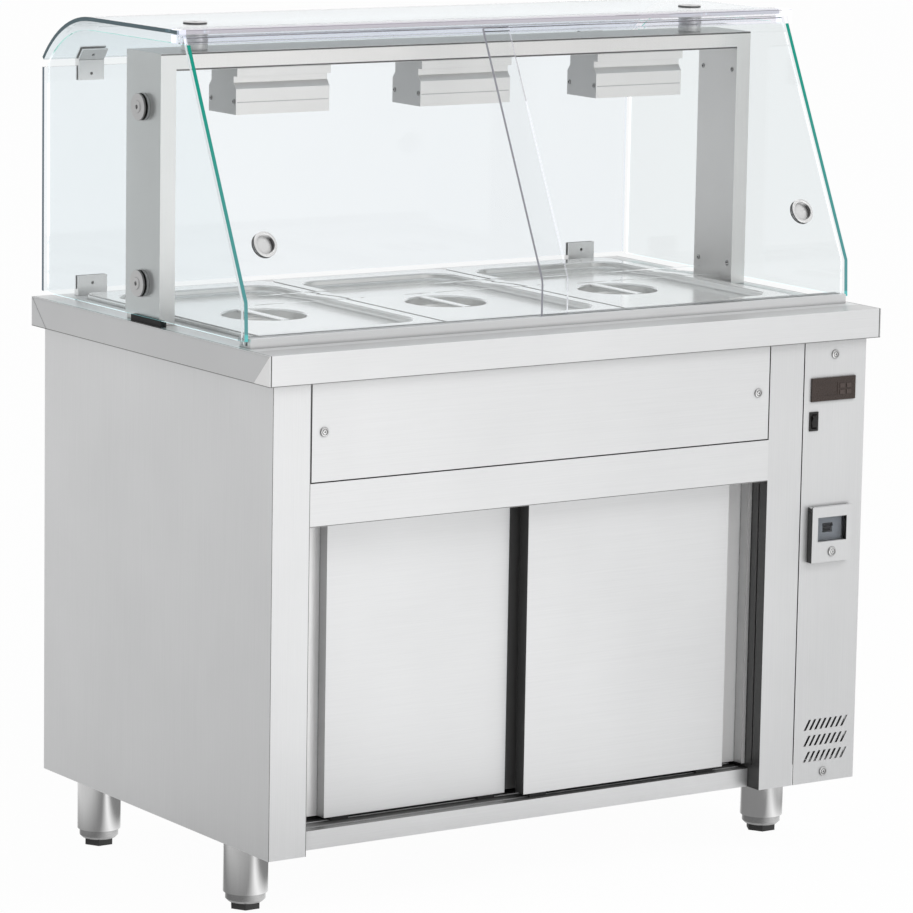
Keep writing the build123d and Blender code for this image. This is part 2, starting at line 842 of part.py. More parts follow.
def make_rocker():
    x, y, z = rocker_place
    across_flat = rocker_radius * cos(radians(rocker_spread))
    up_flat = rocker_radius * sin(radians(rocker_spread))
    rim = ThreePointArc((-across_flat, -up_flat), (rocker_radius, 0), (-across_flat, up_flat))
    apex = (-rocker_apex, 0)
    face = make_face([rim, Line(rim @ 1, apex), Line(apex, rim @ 0)])
    reach = rocker_width / 2 + rest_gap + pivot_length
    body = across(Pos(y, z) * Rot(Z=rocker_tilt) * face, x - rocker_width / 2, x + rocker_width / 2)
    return body + rod((x - reach, y, z), (1, 0, 0), pivot_radius, 2 * reach)


def make_hatch_door():
    face = front - hatch_depth
    back = front - rest_gap
    left = hatch_centre_x - hatch_width / 2
    right = hatch_centre_x + hatch_width / 2
    barrel = 2 * hinge_radius
    door = box(left, right, face, back, hatch_bottom, hatch_top)
    edge = door.edges().filter_by(Axis.X).sort_by(lambda e: e.center().Y + e.center().Z)[-1]
    door = fillet(edge, hinge_radius - pin_gap)
    door -= box(left + hatch_wall, right - hatch_wall, face + hatch_front, back,
                hatch_bottom + hatch_wall, hatch_top - barrel)
    door -= centred(hatch_centre_x, window_z, window_width, window_height, face, back)
    notch = hinge_ear + trim_gap
    for x0, x1 in ((left, left + notch), (right - notch, right)):
        door -= box(x0, x1, hinge_y - hinge_radius - rest_gap, back,
                    hatch_top - barrel - rest_gap, hatch_top)
    door += rod((left, hinge_y, hinge_z), (1, 0, 0), pivot_radius, hatch_width)
    screw_z = hatch_bottom + hatch_screw_rise
    return door + rod((hatch_centre_x, face, screw_z), (0, -1, 0), hatch_screw_radius, hatch_screw_head)


def make_hatch_window():
    face = front - hatch_depth + hatch_front
    return centred(hatch_centre_x, window_z, window_width + 2 * window_lap, window_height + 2 * window_lap,
                   face, face + window_thickness)


def make_breaker():
    x, y, z = toggle_place
    face = front + panel_sheet
    reach = toggle_width / 2 + rest_gap + pivot_length
    body = centred(x, z, window_width + 2 * breaker_lap_x, window_height + 2 * breaker_lap_z,
                   face, face + breaker_depth)
    body -= centred(x, z, toggle_width + 2 * rest_gap, 2 * (toggle_barrel + rest_gap), face,
                    y + toggle_barrel + rest_gap)
    return body - rod((x - reach, y, z), (1, 0, 0), pivot_radius + pin_gap, 2 * reach)


def make_breaker_toggle():
    x, y, z = toggle_place
    reach = toggle_width / 2 + rest_gap + pivot_length
    half = toggle_width / 2
    arm = Rot(Z=-toggle_tilt) * (Pos(-toggle_reach / 2, 0) * Rectangle(toggle_reach, toggle_thickness))
    toggle = across(Pos(y, z) * arm, x - half, x + half)
    toggle += rod((x - half, y, z), (1, 0, 0), toggle_barrel, toggle_width)
    return toggle + rod((x - reach, y, z), (1, 0, 0), pivot_radius, 2 * reach)


# Legs
def make_leg_tubes():
    tubes = []
    for x, y in leg_places:
        tube = rod((x, y, leg_bottom), (0, 0, 1), leg_radius, cabinet_base - leg_bottom)
        tube -= rod((x, y, leg_bottom + leg_lip), (0, 0, 1), leg_radius - leg_wall,
                    cabinet_base - leg_cap - leg_bottom - leg_lip)
        tubes.append(tube - rod((x, y, leg_bottom), (0, 0, 1), collar_foot_radius + rest_gap, leg_lip))
    return tubes


def make_foot(x, y):
    collar = rod((x, y, collar_bottom), (0, 0, 1), collar_foot_radius, stem_top - collar_bottom)
    collar = chamfer(collar.edges().sort_by(Axis.Z)[0], collar_chamfer)
    collar -= rod((x, y, leg_bottom), (0, 0, 1), collar_foot_radius - stem_wall, stem_top - leg_bottom)
    hexagon = extrude(Pos(x, y, 0) * RegularPolygon(foot_radius, 6), amount=collar_bottom)
    return collar + hexagon


# Canopy frame and lamps
def portal(inset, foot):
    """Two posts and a beam, drawn in on every side by an inset."""
    x = post_outer - inset
    half = post_depth / 2 - inset
    frame = box(-x, x, post_centre_y - half, post_centre_y + half, foot, beam_top - inset)
    gap = post_inner + inset
    return frame - box(-gap, gap, post_centre_y - half, post_centre_y + half, foot, beam_under + inset)


def make_canopy_frame():
    frame = portal(0, top) - portal(post_wall, top)
    for place, axis in post_screw_places():
        frame -= clear_hole(place, axis, small_screw_shank + pin_gap, 2 * post_wall)
    return frame


def post_screw_places():
    """Cover screws on the posts' inner faces, with the way that each one faces."""
    places = []
    for side in (-1, 1):
        for y in (post_centre_y - post_screw_spread, post_centre_y + post_screw_spread):
            for z in (top + post_screw_low, beam_top - post_screw_drop):
                places.append(((side * post_inner, y, z), (-side, 0, 0)))
    return places


def lamp_outline():
    """End view of a lamp: a mounting flange, a neck, sloped shoulders and a body that is open below."""
    shape = outline((-lamp_half, -lamp_drop), (-lamp_half, -lamp_shoulder_drop),
                    (-lamp_neck, -lamp_neck_drop), (-lamp_neck, -lamp_flange_drop),
                    (-lamp_flange, -lamp_flange_drop), (-lamp_flange, 0),
                    (lamp_neck, 0), (lamp_neck, -lamp_neck_drop),
                    (lamp_half, -lamp_shoulder_drop), (lamp_half, -lamp_drop))
    return Pos(lamp_y, beam_under) * shape


def make_lamp_housing(x):
    half = lamp_length / 2 - lamp_plate
    body = lamp_half - lamp_wall
    neck = lamp_neck - lamp_wall
    housing = across(lamp_outline(), x - half, x + half)
    housing -= box(x - half, x + half, lamp_y - body, lamp_y + body,
                   beam_under - lamp_drop, beam_under - lamp_shoulder_drop)
    return housing - box(x - half, x + half, lamp_y - neck, lamp_y + neck,
                         beam_under - lamp_shoulder_drop, beam_under - lamp_wall)


def lamp_plate_spans(x):
    """X span of the two end plates of a lamp, each with its outward side."""
    half = lamp_length / 2
    return [(x - half, x - half + lamp_plate, -1), (x + half - lamp_plate, x + half, 1)]


def make_lamp_end_plates():
    plates = []
    for x in pan_places:
        for x0, x1, side in lamp_plate_spans(x):
            plate = across(lamp_outline(), x0, x1)
            for place, axis in lamp_screw_places(x0 if side < 0 else x1, side):
                plate -= clear_hole(place, axis, small_screw_shank + pin_gap, 2 * lamp_plate)
            plates.append(plate)
    return plates


def lamp_screw_places(x, side):
    """End-plate screws of a lamp, with the way that they face."""
    z = beam_under - lamp_screw_drop
    return [((x, lamp_y + way * lamp_screw_y, z), (side, 0, 0)) for way in (-1, 1)]


def make_lamp_tubes():
    half = lamp_length / 2 - lamp_plate
    z = beam_under - lamp_tube_drop
    tubes = []
    for x in pan_places:
        tube = rod((x - half, lamp_y, z), (1, 0, 0), lamp_tube_radius, 2 * half)
        for start in (x - half, x + half - lamp_cap_length):
            tube += rod((start, lamp_y, z), (1, 0, 0), lamp_cap_radius, lamp_cap_length)
        tubes.append(tube)
    return tubes


def make_screws():
    large = [(place, (0, -1, 0)) for place in access_screw_places() + control_screw_places()]
    screws = [screw(place, axis, screw_radius, screw_head, screw_shank, panel_sheet)
              for place, axis in large]
    small = [(place, axis, post_wall) for place, axis in post_screw_places()]
    for x in pan_places:
        for x0, x1, side in lamp_plate_spans(x):
            places = lamp_screw_places(x0 if side < 0 else x1, side)
            small += [(place, axis, lamp_plate) for place, axis in places]
    for place, axis, depth in small:
        screws.append(screw(place, axis, small_screw_radius, small_screw_head, small_screw_shank, depth))
    return screws


# Fixed glass
def side_standoff_places():
    return [(post_centre_y, z) for z in (top + standoff_low, beam_top - standoff_drop)]


def make_side_glass(side):
    foot = top + side_glass_lift
    crown = top_glass_under - side_glass_drop
    toe_y = side_glass_front - half_depth
    bend_y = toe_y + side_glass_lean
    brow_y = bend_y + (crown - bend_z) * tan(radians(pane_slope))
    back_y = rear_glass_face - rear_glass_gap
    radius = crown - arc_z
    turn = asin((back_y - arc_y) / radius)
    arc = ThreePointArc((arc_y, crown), (arc_y + radius * sin(turn / 2), arc_z + radius * cos(turn / 2)),
                        (back_y, arc_z + radius * cos(turn)))
    edge = Polyline(arc @ 1, (back_y, foot), (toe_y, foot), (bend_y, bend_z), (brow_y, crown), arc @ 0)
    glass = across(make_face([arc, edge]), side * glass_inner, side * glass_outer)
    for y, z in side_standoff_places():
        glass -= clear_hole((side * glass_outer, y, z), (side, 0, 0),
                            bolt_radius + slide_gap, 2 * glass_thickness)
    return glass


def make_glass_pads():
    """Rubber blocks on the counter, beside the posts, that the side glasses stand on."""
    pads = []
    for side, shift in ((-1, left_pad_shift), (1, right_pad_shift)):
        low = post_centre_y + shift - pad_length / 2
        pads.append(box(side * post_outer, side * glass_outer, low, low + pad_length,
                        top, top + side_glass_lift))
    return pads


def make_top_glass():
    middle = (top_glass_under + top_glass_top) / 2
    runs = [arc_y - top_glass_front, (arc_middle, -top_glass_turn)]
    strip = bent_strip((top_glass_front, middle), 0, runs, glass_thickness)
    reach = half_width - top_glass_inset
    glass = across(strip, -reach, reach)
    for side in (-1, 1):
        glass -= clear_hole((side * top_standoff_x, post_centre_y, top_glass_top), (0, 0, 1),
                            bolt_radius + slide_gap, 2 * glass_thickness)
    return glass


def make_rear_glass():
    reach = half_width - top_glass_inset
    return box(-reach, reach, rear_glass_face, rear_glass_back, top + rear_glass_lift, rear_glass_top)


def make_glass_standoffs():
    standoffs = []
    for side in (-1, 1):
        outward = (side, 0, 0)
        for y, z in side_standoff_places():
            stud = rod((side * post_outer, y, z), outward, standoff_radius, side_glass_gap)
            stud += rod((side * glass_inner, y, z), outward, bolt_radius, glass_thickness)
            stud += rod((side * glass_outer, y, z), outward, standoff_radius, standoff_cap)
            standoffs.append(stud + rod((side * (glass_outer + standoff_cap), y, z), outward,
                                        standoff_boss_radius, standoff_boss))
        x = side * top_standoff_x
        stud = rod((x, post_centre_y, beam_top), (0, 0, 1), top_standoff_radius, top_glass_rise)
        stud += rod((x, post_centre_y, top_glass_under), (0, 0, 1), bolt_radius, glass_thickness)
        standoffs.append(stud + rod((x, post_centre_y, top_glass_top), (0, 0, 1),
                                    top_standoff_radius, top_cap))
    return standoffs


def make_rear_glass_brackets():
    face = rear_glass_face - bracket_wall
    back = rear_glass_back + bracket_wall
    half = bracket_width / 2
    turn = radians(top_glass_turn)
    end_y = arc_y + arc_middle * sin(turn)
    end = Pos(end_y, arc_end_z) * Rot(Z=180 - top_glass_turn)
    sag = bracket_lap * bracket_lap / (2 * arc_middle) + rest_gap
    jaw = end * Pos((bracket_lap - bracket_root) / 2, sag / 2)
    tilted = jaw * Rectangle(bracket_lap + bracket_root, glass_thickness + sag + 2 * bracket_wall)
    tilted -= end * Pos(bracket_lap, sag / 2) * Rectangle(2 * bracket_lap, glass_thickness + sag)
    skin = glass_thickness / 2 + sag + bracket_wall
    hole_y = end_y - bracket_hole_reach * cos(turn) - skin * sin(turn)
    hole_z = arc_end_z + bracket_hole_reach * sin(turn) - skin * cos(turn)
    inward = (0, -sin(turn), -cos(turn))
    low = rear_glass_top - bracket_drop
    brackets = []
    for side in (-1, 1):
        x = side * (half_width - bracket_inset)
        clamp = box(x - half, x + half, face, back, low, rear_glass_top + bracket_rise)
        clamp += across(tilted, x - half, x + half)
        clamp -= clear_hole((x, face, low + bracket_hole_rise), (0, -1, 0), clip_hole, 2 * bracket_wall)
        clamp -= clear_hole((x, hole_y, hole_z), inward, clip_hole, 2 * bracket_wall)
        brackets.append(clamp - box(x - half, x + half, rear_glass_face, rear_glass_back,
                                    low, rear_glass_top))
        x = side * (half_width - clip_inset)
        clip = box(x - clip_width / 2, x + clip_width / 2, face, back, top, top + clip_height)
        clip -= clear_hole((x, face, top + clip_height - clip_hole_drop), (0, -1, 0),
                           clip_hole, 2 * bracket_wall)
        brackets.append(clip - box(x - clip_width / 2, x + clip_width / 2, rear_glass_face, rear_glass_back,
                                   top + rear_glass_lift, top + clip_height))
    return brackets


# Sliding panes and their rails
def make_pane(base_y, left):
    """Bent pane: upright in the sill rail, then leaning back into the top rail."""
    foot = sill_slot_floor + rest_gap
    bend_run = pane_bend_radius * tan(radians(pane_slope / 2))
    lean = (rail_under - bend_z) / cos(radians(pane_slope)) + groove_depth - groove_clearance
    runs = [bend_z - foot - bend_run, (pane_bend_radius, -pane_slope), lean - bend_run]
    pane = across(bent_strip((base_y, foot), 90, runs, pane_thickness), left, left + pane_width)
    place = cup_plane(base_y, cup_x(left))
    return pane - extrude(place * Circle(cup_barrel + rest_gap), amount=pane_thickness, both=True)


def cup_x(left):
    """Middle of a pane's finger cup, near the end that faces the side glass."""
    return left + cup_inset if left < -pane_width / 2 else left + pane_width - cup_inset


def cup_plane(base_y, x):
    """Plane on a pane's middle, facing out of the canopy, where the finger cup goes through."""
    slope = radians(pane_slope)
    z = top + cup_height
    return Plane(origin=(x, pane_line(base_y, z), z), x_dir=(1, 0, 0), z_dir=(0, -cos(slope), sin(slope)))


def make_finger_cup(base_y, left):
    place = cup_plane(base_y, cup_x(left))
    half = pane_thickness / 2
    lip = extrude(place.offset(half) * Circle(cup_radius), amount=cup_flange)
    barrel = extrude(place.offset(-half) * Circle(cup_barrel), amount=pane_thickness)
    floor = extrude(place.offset(-half - cup_floor) * Circle(cup_radius), amount=cup_floor)
    hollow = extrude(place.offset(-half) * Circle(cup_bore), amount=pane_thickness + cup_flange)
    return lip + barrel + floor - hollow


def make_top_rail():
    reach = glass_outer + top_rail_overrun
    rail = outline((rail_front, rail_under), (rail_rear, rail_under),
                   (rail_rear, rail_over), (rail_front, rail_over))
    slot_top = top_glass_top + rest_gap
    slot_under = top_glass_under - rest_gap
    slot_end = rail_rear - glass_slot_depth
    rail -= outline((slot_end, slot_under), (rail_rear, slot_under),
                    (rail_rear, slot_top), (slot_end, slot_top))
    for base_y in (front_pane_y, rear_pane_y):
        mouth = Pos(pane_line(base_y, rail_under), rail_under) * Rot(Z=90 - pane_slope)
        rail -= mouth * Rectangle(2 * groove_depth, 2 * pane_reach)
    return across(rail, -reach, reach)


def make_sill_rail():
    reach = glass_inner - sill_end_gap
    rail = box(-reach, reach, front_pane_y - sill_lip_front, rear_pane_y + sill_lip_rear,
               top, top + sill_height)
    for y in (front_pane_y, rear_pane_y):
        rail -= box(-reach, reach, y - pane_reach, y + pane_reach, sill_slot_floor, top + sill_height)
    return rail


def make_cable_gland():
    inside = rear - panel_sheet - gland_nut
    gland = rod((control_x, rear, gland_z), (0, 1, 0), gland_radius, gland_outside)
    gland += rod((control_x, rear, gland_z), (0, -1, 0), gland_thread, panel_sheet)
    gland += rod((control_x, inside, gland_z), (0, 1, 0), gland_radius, gland_nut)
    length = gland_nut + panel_sheet + gland_outside
    return gland - rod((control_x, inside, gland_z), (0, 1, 0), gland_bore, length)


# Every node and the solids in it
right_door = (right_door_left, right_door_face, 1, 0.0)
left_door = (left_door_left, left_door_face, -1, door_overlap + overlap_recess)
left_pane = (rear_pane_y, pane_end_gap - glass_inner)
right_pane = (front_pane_y, glass_inner - pane_end_gap - pane_width)
nodes = {
    "counter_top": make_counter_top(),
    "water_tank": make_water_tank(),
    "pan_bars": make_pan_bars(),
    "heating_element": make_heating_element(),
    "drain_valve": make_drain_valve(),
    "drain_lever": make_drain_lever(),
    "left_side_panel": make_left_side_panel(),
    "right_side_panel": make_right_side_panel(),
    "back_panel": make_back_panel(),
    "cabinet_floor": make_cabinet_floor(),
    "partition": make_partition(),
    "header_rail": make_header_rail(),
    "bottom_rail": make_bottom_rail(),
    "access_panel": make_access_panel(),
    "left_door": make_door(*left_door),
    "left_door_glides": make_door_glides(*left_door),
    "right_door": make_door(*right_door),
    "right_door_glides": make_door_glides(*right_door),
    "control_panel": make_control_panel(),
    "controller": make_controller(),
    "rocker_housing": make_rocker_housing(),
    "rocker": make_rocker(),
    "hatch_door": make_hatch_door(),
    "hatch_window": make_hatch_window(),
    "breaker": make_breaker(),
    "breaker_toggle": make_breaker_toggle(),
    "screws": make_screws(),
    "leg_tubes": make_leg_tubes(),
    "canopy_frame": make_canopy_frame(),
    "lamp_housings": [make_lamp_housing(x) for x in pan_places],
    "lamp_end_plates": make_lamp_end_plates(),
    "lamp_tubes": make_lamp_tubes(),
    "left_side_glass": make_side_glass(-1),
    "right_side_glass": make_side_glass(1),
    "glass_pads": make_glass_pads(),
    "top_glass": make_top_glass(),
    "rear_glass": make_rear_glass(),
    "glass_standoffs": make_glass_standoffs(),
    "rear_glass_brackets": make_rear_glass_brackets(),
    "left_pane": make_pane(*left_pane),
    "right_pane": make_pane(*right_pane),
    "left_finger_cup": make_finger_cup(*left_pane),
    "right_finger_cup": make_finger_cup(*right_pane),
    "top_rail": make_top_rail(),
    "sill_rail": make_sill_rail(),
    "cable_gland": make_cable_gland(),
}
for name, x in zip(("left", "middle", "right"), pan_places):
    nodes[f"pan_{name}"] = make_pan(x)
    nodes[f"lid_{name}"] = make_lid(x)
for name, (x, z) in zip(("set", "standby", "down", "up"), key_places()):
    nodes[f"key_{name}"] = make_key(x, z)
for name, (x, y) in zip(("front_left", "front_right", "rear_left", "rear_right"), leg_places):
    nodes[f"foot_{name}"] = make_foot(x, y)

os.makedirs("parts", exist_ok=True)
for name, shape in nodes.items():
    pieces = shape if isinstance(shape, list) else [shape]
    solids = [solid for piece in pieces for solid in piece.solids()]
    export_step(Compound(solids), os.path.join("parts", f"{name}.step"))
print(len(nodes), "nodes")
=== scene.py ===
import math

import bpy
import numpy as np
from bpy.props import FloatProperty, FloatVectorProperty, PointerProperty
from mathutils import Matrix, Vector


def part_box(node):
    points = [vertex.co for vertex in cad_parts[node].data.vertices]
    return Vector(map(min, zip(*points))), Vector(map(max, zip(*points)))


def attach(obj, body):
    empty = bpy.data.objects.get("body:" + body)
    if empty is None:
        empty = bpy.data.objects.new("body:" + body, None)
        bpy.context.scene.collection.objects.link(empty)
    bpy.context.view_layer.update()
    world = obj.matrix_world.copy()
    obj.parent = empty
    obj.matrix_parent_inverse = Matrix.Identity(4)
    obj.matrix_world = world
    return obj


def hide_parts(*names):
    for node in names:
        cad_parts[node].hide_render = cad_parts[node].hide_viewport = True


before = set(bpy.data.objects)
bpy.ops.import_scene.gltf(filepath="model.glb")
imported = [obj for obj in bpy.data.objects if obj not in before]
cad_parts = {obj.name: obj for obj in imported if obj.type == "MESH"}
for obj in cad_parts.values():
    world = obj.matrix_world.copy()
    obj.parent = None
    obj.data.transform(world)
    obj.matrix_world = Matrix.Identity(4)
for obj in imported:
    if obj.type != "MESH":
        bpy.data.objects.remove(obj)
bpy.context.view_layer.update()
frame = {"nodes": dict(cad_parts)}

bl_info = {
    "name": "Bain Marie Dressing",
    "version": (1, 0, 0),
    "blender": (4, 5, 0),
    "location": "View3D > Sidebar > Bain Marie",
    "description": "Finishes, pressed pans and lids, turned fittings and a studio for a packed bain marie",
    "category": "Object",
}

ROWS = ("left", "middle", "right")
FEET = ("front_left", "front_right", "rear_left", "rear_right")
KEYS = ("set", "standby", "down", "up")

# Roughness, and how far the painted crease shade reaches, by material
ROUGHNESS = {
    "polished_legs": 0.16, "pressed_lids": 0.18, "pressed_pans": 0.26, "lamp_satin": 0.40, "lamp_ends": 0.40,
    "satin_standoffs": 0.30, "bright_cups": 0.22, "turned_screws": 0.25, "heater_sheath": 0.45,
    "cast_brass": 0.42, "pad_rubber": 0.70, "controller_front": 0.28, "soft_keys": 0.55,
    "black_plastic": 0.35, "grey_moulding": 0.45, "quartz": 0.25, "nylon": 0.50, "foot_hexagon": 0.55,
    "foot_collar": 0.25,
}
SHEET_REACH = 0.006
REACH = {
    "stainless_left_door": 0.002, "stainless_right_door": 0.002, "stainless_hatch": 0.002,
    "stainless_brackets": 0.002, "lamp_satin": 0.002, "lamp_ends": 0.002, "pressed_lids": 0.002,
    "turned_screws": 0.002, "stainless_frame": 0.0025, "stainless_track": 0.03, "satin_standoffs": 0.0008,
    "bright_cups": 0.007,
}

# Painted lines and zones, most of them light and shade: insets from an edge, and half widths, in metres
FULL_RUN = 1.0
SOFT = 0.0002
HAIR = 0.0006
HAIR_INSET = 0.0007
GRIP_HALF = 0.022
LAP_INSET = 0.0255
LAP_HALF = 0.0254
RETURN_Y = 0.302
RETURN_HALF = 0.0315
RETURN_RUN = 0.40
FRONT_INSET = 0.0255
FRONT_HALF = 0.0245
FRONT_STOP = 0.0015
CORNER_INSET = 0.0025
CORNER_HALF = 0.0010
BEAM_INSET = 0.0015
BEAM_HALF = 0.0013
CROWN_INSET = 0.0008
CROWN_HALF = 0.0010
BRIM_HALF = 0.0007
LAMP_LINE_DROP = 0.0012
LAMP_LINE_HALF = 0.0008
ROOF_RIM_HALF = 0.0017
RIM_SHARE = 0.4

# Zones with soft ends: where along an axis they begin and are full
EAR_FOLD = (0.5005, 0.4995)
WALL_CHANGE = (0.0, 0.01)
FOOT_COLLAR = (0.0100, 0.0106)
LOW_EDGE = (2, 1.20, 0.90)
MET_EDGE = (1, 0.29, 0.30)
OUTER_END = (0, 0.39, 0.41)
FACING = (0.4, 0.8)

# Grain: stretch of the streaks, their depth, and how far tone and roughness vary
ALONG_X = (9.0, 700.0, 700.0)
ALONG_Y = (700.0, 9.0, 700.0)
ALONG_Z = (700.0, 700.0, 9.0)
CAST = (160.0,) * 3
SATIN = (220.0,) * 3
TURNED = (300.0,) * 3
GRAIN_DEPTH = 0.0002
LID_GRAIN = 0.012
COLLAR_GRAIN = 0.1
QUARTZ_GRAIN = 0.05
STREAK_SPAN = (0.25, 0.75)
NOISE_SPAN = (0.3, 0.7)
COLLAR_SHADES = (0.55, 0.70)
CLOUD_SHADES = (0.975, 1.02)
BRUSHED_GLOSS = (0.9, 1.12)
MOULDED_GLOSS = (0.85, 1.15)
MOULDED_SHADES = (0.88, 1.12)
MOULDED_FINE = 900.0
MOULDED_WIDE = 35.0
GLASS_SHADES = (0.99, 1.01)
GLASS_WAVES = 3.0
RAIL_IOR = 1.03

# Pressed and turned forms: fillets, and rows of radius and height, in metres
LID_FILLETS = (0.012, 0.003, 0.0035, 0.0025)
PAN_FILLETS = (0.022, 0.005, 0.0022)
DISH_CORE = 0.4
PAN_CORE = 0.3
BRIDGE_ROUND = 0.4
SHARP_EDGE = math.radians(38)
PANEL_SCREW = ((0.0070, 0.0), (0.0070, 0.0011), (0.0066, 0.0018), (0.0058, 0.0022), (0.0047, 0.0023),
               (0.0045, 0.0012), (0.0037, 0.0012), (0.0035, 0.0023), (0.0031, 0.0025), (0.0013, 0.0025),
               (0.0012, 0.0008))
HATCH_SCREW = ((0.0073, 0.0), (0.0073, 0.0018), (0.0068, 0.0025), (0.0060, 0.0029), (0.0048, 0.0030),
               (0.0046, 0.0021), (0.0038, 0.0021), (0.0036, 0.0029), (0.0031, 0.0030), (0.0013, 0.0030),
               (0.0012, 0.0021))
SOCKET_SCREW = ((0.0035, 0.0), (0.0035, 0.0006), (0.0031, 0.0011), (0.0022, 0.0015), (0.0018, 0.0016),
                (0.0015, 0.0016), (0.0015, 0.0005))
FINGER_CUP = ((0.0195, -0.004), (0.0195, -0.0025), (0.0157, -0.0025), (0.0157, 0.0025), (0.0195, 0.0025),
              (0.0195, 0.0036), (0.0190, 0.0042), (0.0180, 0.0045), (0.0158, 0.0045), (0.0149, 0.0041),
              (0.0144, 0.0034), (0.0142, -0.0018), (0.0139, -0.0023), (0.0130, -0.0024))
CUP_SHIFT = 0.00025
STUD_SCREW = 0.0015
ROOF_CAP = 0.002

# Stage: camera in millimetres and metres, lamp and floor in metres, and brightness
SENSOR = 36.0
CLIP_END = 200.0
LAMP_SIZE = (3.0, 2.2)
LAMP_PLACE = (1.8, -3.4, 3.6)
LAMP_AIM = (0.0, 0.0, 0.7)
FLOOR_RINGS = (0.3, 0.8, 1.6, 3.0, 6.0, 12.0)
FLOOR_STEPS = 96
FLOOR_TONE = 0.86
FLOOR_ROUGHNESS = 0.9
FLOOR_FAR = 5.0
FLOOR_LEVELS = (0.92, 1.12)
STRIP_CORE = 0.01
STRIP_LEVELS = (0.95, 0.22)
CONTACT_FADE = (0.6, 0.85)
BAND_RISE = (0.36, 0.52)
DOME_RISE = (0.65, 0.90)
ONE_BOUNCE = 0.5
WHITE = (1.0, 1.0, 1.0)


# Property kinds: the description is the label and the kind of value
def length(label, default):
    """A size in metres."""
    return FloatProperty(name=label, description=f"{label}, in metres", default=default, precision=4,
                         unit="LENGTH")


def share(label, default):
    """A share from 0 to 1."""
    return FloatProperty(name=label, description=f"{label}, from 0 to 1", default=default, min=0, max=1,
                         subtype="FACTOR")


def angle(label, degrees):
    """An angle, given in degrees and held in radians."""
    return FloatProperty(name=label, description=f"{label}, as an angle", default=math.radians(degrees),
                         subtype="ANGLE")


def strength(label, default):
    """A brightness or power."""
    return FloatProperty(name=label, description=f"{label}, zero for none", default=default, min=0)


def colour(label, *rgb):
    """A linear colour: red, green and blue, or one number for a grey."""
    return FloatVectorProperty(name=label, description=f"{label}, as a linear colour", size=3, min=0, max=1,
                               default=rgb if len(rgb) == 3 else rgb * 3, subtype="COLOR")


